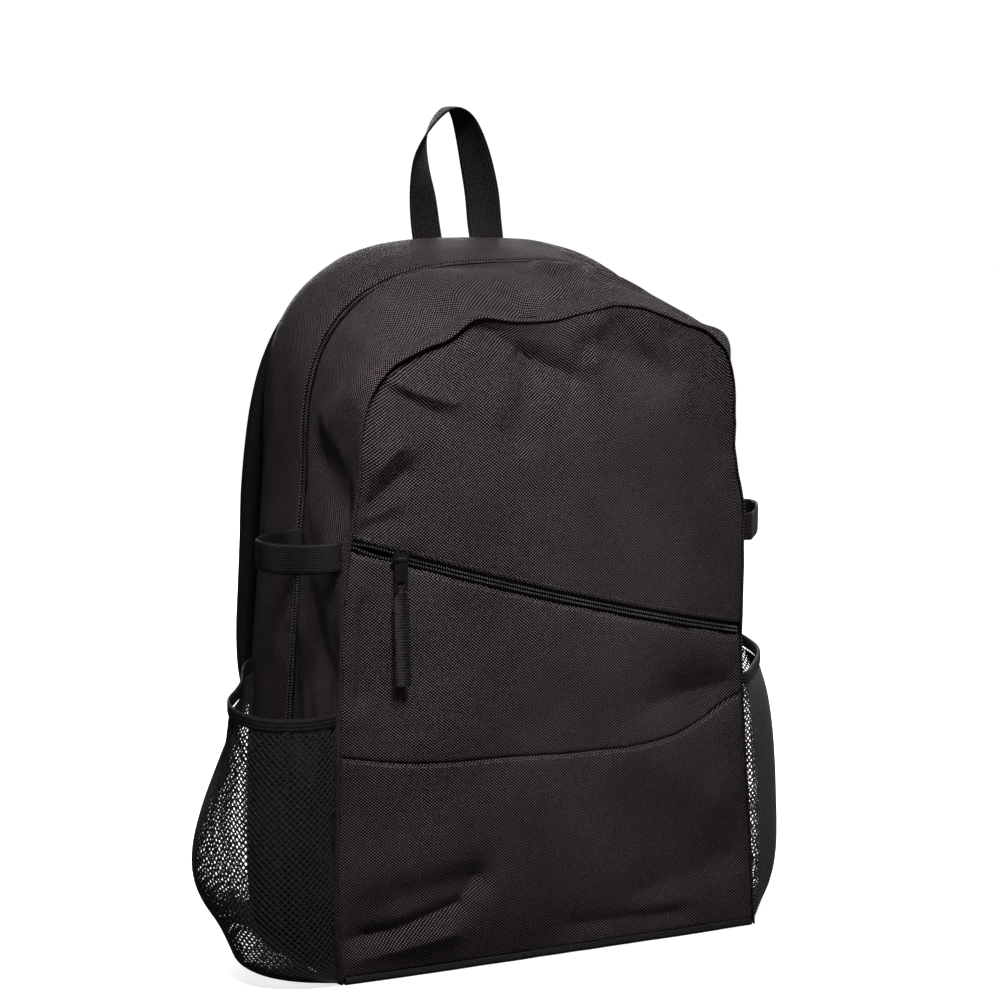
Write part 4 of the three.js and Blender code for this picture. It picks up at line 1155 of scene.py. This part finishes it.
share = np.linspace(-1, 1, 220)
piping_y = FRONT_Y - CLOTH / 2 - CLOTH * (1 - share**4)
piping_z = PIPING_RADIUS * 1.04 + 0.15 * noise(share * 160, 0 * share, 14, 51)
piping = np.stack([share * (BASE_HALF - 6), piping_y, piping_z], -1)
how = {"replaces": ("bottom_piping",), "slot": "webbing"}
tubes("bottom_cord", [piping], PIPING_RADIUS * 0.97, 14, binding_look, **how)

# Grab handle
t = np.linspace(0, 1, 190)
turn = np.radians(along(handle_rows, "turn", t))
sewn_height = crown_height(BACK_Y) - HANDLE_SEWN * HANDLE_RISE
foot = back_depth(np.array(0.0), sewn_height) + SEAM_GAP + WEBBING / 2 + 0.75
handle = np.stack(
    [
        HANDLE_X + HANDLE_SPREAD * along(handle_rows, "x", t),
        foot + HANDLE_RISE * along(handle_rows, "y", t),
        crown_height(BACK_Y) + HANDLE_RISE * along(handle_rows, "z", t),
    ],
    -1,
)
turned = np.stack([np.cos(turn), np.sin(turn), 0 * turn], -1)
how = {"edge": 0.6, "bow": 0.5, "replaces": ("grab_handle",), "slot": "webbing"}
ribbon("grab_handle_strap", handle, turned, WEBBING_WIDTH, WEBBING, webbing_look, **how)


def off_side(sign, y, z, off):
    """A point off the side of the bag."""
    x = sign * (half_width(sign + 0 * y, z, np.clip(y, FRONT_Y, BACK_Y)) + off)
    return np.stack([x, y + 0 * x, z + 0 * x], -1)


def pocket_top(y):
    return POCKET_HEIGHT + POCKET_RISE * ((y - FRONT_Y) / BAG_DEPTH)


def net_off(side, t, level):
    """How far the net stands off: the barrel's reach and the slack behind it."""
    reach = read(net_levels, "z", level, side) * BARREL_REACH * along(net_rows[side], "barrel", t)
    slack = read(net_levels, "z", level, "slack") * NET_SLACK * along(net_rows[side], "slack", t)
    return reach + slack


def net_threads(surface):
    """Two sets of slanting threads over the net's grid of points."""
    belly = lengths(surface[70])
    rise = lengths(surface[:, 120])
    climb = np.arange(0, rise[-1], 2.4)
    apart = NET_PITCH * math.sqrt(2)
    ways = ((-1, 0, belly[-1] + rise[-1]), (1, -rise[-1], belly[-1]))
    for way, first, last in ways:
        for start in np.arange(first, last, apart):
            a = start + way * climb
            inside = (a >= 0) & (a <= belly[-1])
            if inside.sum() < 3:
                continue
            column = np.interp(a[inside], belly, np.arange(len(belly)))
            row = np.interp(climb[inside], rise, np.arange(len(rise)))
            i = np.minimum(row.astype(int), len(rise) - 2)
            j = np.minimum(column.astype(int), len(belly) - 2)
            low = mix(surface[i, j], surface[i, j + 1], (column - j)[:, None])
            high = mix(surface[i + 1, j], surface[i + 1, j + 1], (column - j)[:, None])
            yield mix(low, high, (row - i)[:, None])


# Bat loops and bat pockets
upright = np.array([0.0, 0, 1])
for side, sign in (("left", -1), ("right", 1)):
    t = np.linspace(0, 1, 120)
    y = BAG_DEPTH * along(loop_rows[side], "y", t)
    off = OFF_SEAM + LOOP_REACH * along(loop_rows[side], "off", t)
    loop = off_side(sign, y, LOOP_HEIGHT + 0 * t, off)
    how = {"replaces": ("bat_loop_" + side,), "slot": "elastic"}
    ribbon("bat_elastic_" + side, loop, upright, ELASTIC_WIDTH, ELASTIC, elastic_look, **how)

    t = np.linspace(0, 1, 241)[None]
    level = np.linspace(0, 1, 161)[:, None] + 0 * t
    y = BAG_DEPTH * along(net_rows[side], "y", t)
    top = pocket_top(y) - BINDING_WIDTH - SEAM_GAP
    off = OFF_SEAM - NET / 2 + net_off(side, t, level)
    threads = list(net_threads(off_side(sign, y, mix(NET_LOW, top, level), off)))
    how = {"replaces": ("mesh_pocket_" + side,), "slot": "pocket_net"}
    tubes("net_" + side, threads, NET_THREAD, 3, net_look, **how)

    t = np.linspace(0, 1, 150)
    y = BAG_DEPTH * along(net_rows[side], "y", t)
    off = OFF_SEAM + NET / 4 + net_off(side, t, 1.0)
    binding = off_side(sign, y, pocket_top(y) - BINDING_WIDTH / 2, off)
    how = {"replaces": ("pocket_binding_" + side,), "slot": "elastic"}
    ribbon("pocket_edge_" + side, binding, upright, BINDING_WIDTH, 2 * NET, binding_look, 0.8, **how)

# Shoulder straps with their webbing
bar_high = np.array([1, 0.25, -0.58]) * ADJUSTER_HALF
bar_low = np.array([0.79, -0.04, -1]) * ADJUSTER_HALF


def bend(edge, way, thickness):
    """Rows of a strip that goes round the edge of a bar."""
    radius = BAR_GAP + thickness / 2
    degrees = np.radians([180, 225, 270, 270, 315, 360])
    corner = np.array([-1, -1, -1, 1, 1, 1]) * ADJUSTER_THICKNESS / 2
    return list(zip(corner + radius * np.cos(degrees), edge - way * radius * np.sin(degrees)))


tongue_out = ADJUSTER_THICKNESS / 2 + BAR_GAP + TONGUE / 2
webbing_out = ADJUSTER_THICKNESS / 2 + BAR_GAP + WEBBING / 2
tongue_rows = [
    (-tongue_out, ADJUSTER_DROP - 6),
    *bend(bar_low[0], -1, TONGUE),
    (tongue_out, ADJUSTER_DROP - 8),
]
rightward = np.array([1.0, 0, 0])
webbing_rows = [
    (-webbing_out - 0.6, -ADJUSTER_HALF - 14),
    (-webbing_out, -ADJUSTER_HALF - 3),
    *bend(bar_high[1], 1, WEBBING),
    (webbing_out, -ADJUSTER_HALF - 3),
    (webbing_out + 1.5, -ADJUSTER_HALF - 0.45 * TAIL_LENGTH),
    (webbing_out + 3, -ADJUSTER_HALF - TAIL_LENGTH),
]
for side, sign in (("left", -1), ("right", 1)):
    t = np.linspace(0, 1, 170)
    x = BASE_HALF * along(strap_rows, "x", t)
    z = BAG_HEIGHT * along(strap_rows, "z", t)
    wide = STRAP_WIDTH * along(strap_rows, "width", t)
    thick = STRAP_THICKNESS * along(strap_rows, "thickness", t)
    behind = back_depth(x - 0.4 * STRAP_WIDTH, z) + SEAM_GAP + thick / 2
    strap = np.stack([sign * x, behind + STRAP_STAND_OFF * along(strap_rows, "off", t), z], -1)
    how = {"replaces": ("shoulder_strap_" + side,), "slot": "bag_cloth"}
    pad = ribbon("strap_pad_" + side, strap, rightward, wide, thick, smooth_cloth, 0.85, **how)
    end = strap[-1]
    middle = end + np.array([0, tongue_out, -ADJUSTER_DROP])
    tongue = resampled([(middle[0], middle[1] + a, middle[2] + b) for a, b in tongue_rows], 60)
    webbing = {"width": WEBBING_WIDTH, "material": webbing_look, "slot": "webbing"}
    ribbon("strap_tongue_" + side, tongue, rightward, thickness=TONGUE, **webbing)
    feet = []
    for height, way, off in zip(foot_rows["z"], foot_rows["way"], foot_rows["off"]):
        foot_x = mix(BASE_HALF - WEBBING_INSET, abs(end[0]), way)
        foot_z = BAG_HEIGHT * height
        back = float(back_depth(np.array(0.9 * foot_x), foot_z))
        foot_y = back + SEAM_GAP + WEBBING / 2 + 0.3 + STRAP_STAND_OFF * off
        feet.append((sign * foot_x, foot_y, foot_z))
    climb = [(middle[0], middle[1] + a, middle[2] + b) for a, b in webbing_rows]
    tail = resampled(feet + climb, 150)
    webbing["replaces"] = ("strap_webbing_" + side,)
    ribbon("strap_tail_" + side, tail, rightward, thickness=WEBBING, **webbing)


# Metal and plastic pieces keep their solids, with rounded edges and better finishes
def dress(node, material, bevel):
    """Gives a solid a material, and edges rounded by a width in millimetres."""
    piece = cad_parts[node]
    piece.data.materials.clear()
    piece.data.materials.append(material)
    rounding = piece.modifiers.new("rounding", "BEVEL")
    rounding.width = bevel / 1000
    rounding.segments = 2
    rounding.limit_method = "ANGLE"


for name in ("front", "main"):
    dress(name + "_zipper_slider", metal_look, 0.35)
    dress(name + "_zipper_puller", metal_look, 0.25)
    dress(name + "_pull_tab", tab_look, 0.3)
for side in ("left", "right"):
    dress("strap_adjuster_" + side, plastic_look, 0.5)

# Floor, light and camera
WHITE = (1, 1, 1, 1)
AMBIENT = 0.07
PAPER = 1.1
CAMERA_PLACE = (-0.92825, -1.80115, 0.57748)
YAW = 0.4758729
PITCH = 0.1328855
LENS = 104.84
floor_look = Nodes("floor")
floor_color = floor_look.ramp(floor_look.speckle(40.0), (0.3, (0.905,) * 3), (0.7, (0.915,) * 3))
floor_material = floor_look.finish(floor_color, roughness=0.8, Emission_Strength=0.75)
floor_look.shader.inputs["Emission Color"].default_value = WHITE
floor_mesh = bpy.data.meshes.new("floor")
floor_mesh.from_pydata([(-6, -4, 0), (6, -4, 0), (6, 9, 0), (-6, 9, 0)], [], [(0, 1, 2, 3)])
floor_mesh.materials.append(floor_material)
floor = add_object("floor", floor_mesh)
floor.visible_diffuse = False
floor.visible_glossy = False

# The world gives a little light, and is white to the camera
world = bpy.data.worlds.new("studio")
bpy.context.scene.world = world
world.use_nodes = True
wires = world.node_tree
ambient = wires.nodes["Background"]
paper = wires.nodes.new("ShaderNodeBackground")
for background, strength in ((ambient, AMBIENT), (paper, PAPER)):
    background.inputs["Color"].default_value = WHITE
    background.inputs["Strength"].default_value = strength
seen = wires.nodes.new("ShaderNodeLightPath")
choice = wires.nodes.new("ShaderNodeMixShader")
wires.links.new(seen.outputs["Is Camera Ray"], choice.inputs[0])
wires.links.new(ambient.outputs[0], choice.inputs[1])
wires.links.new(paper.outputs[0], choice.inputs[2])
wires.links.new(choice.outputs[0], wires.nodes["World Output"].inputs["Surface"])
bpy.context.scene.view_settings.view_transform = "Standard"


def light(name, kind, power, **values):
    """A lamp of a kind, with its power in watts, or in W/m2 for the sun."""
    data = bpy.data.lights.new(name, kind)
    data.energy = power
    for key, value in values.items():
        setattr(data, key, value)
    return add_object(name, data)


def aim(lamp, place, target):
    lamp.location = place
    lamp.rotation_euler = (Vector(target) - Vector(place)).to_track_quat("-Z", "Y").to_euler()


light("overhead", "SUN", 0.7, angle=math.radians(50))
for name, place, target, (wide, high), power in (
    ("key", (-0.36, -0.98, 1.6), (0, 0, 0.3), (0.45, 0.35), 23),
    ("left", (-1.7, -1.0, 0.9), (0, 0, 0.25), (0.8, 0.8), 1),
    ("rear", (0.7, 2.0, 0.9), (0, 0, 0.25), (1.0, 1.0), 32),
    ("right", (1.9, 0.5, 0.9), (0, 0, 0.25), (0.8, 0.8), 14),
):
    aim(light(name, "AREA", power, shape="RECTANGLE", size=wide, size_y=high), place, target)
beam = light("beam", "SPOT", 78, spot_size=math.radians(18), spot_blend=1, shadow_soft_size=0.12)
aim(beam, (-0.35, -1.18, 1.4), (-0.02, -0.08, 0.31))

# The camera as fitted to the photo; yaw turns it from straight ahead, pitch down
camera = add_object("camera", bpy.data.cameras.new("camera"))
camera.location = CAMERA_PLACE
ahead = Vector((math.sin(YAW) * math.cos(PITCH), math.cos(YAW) * math.cos(PITCH), -math.sin(PITCH)))
camera.rotation_euler = ahead.to_track_quat("-Z", "Y").to_euler()
camera.data.lens = LENS
camera.data.sensor_width = 36
camera.data.clip_start = 0.01
bpy.context.scene.camera = camera
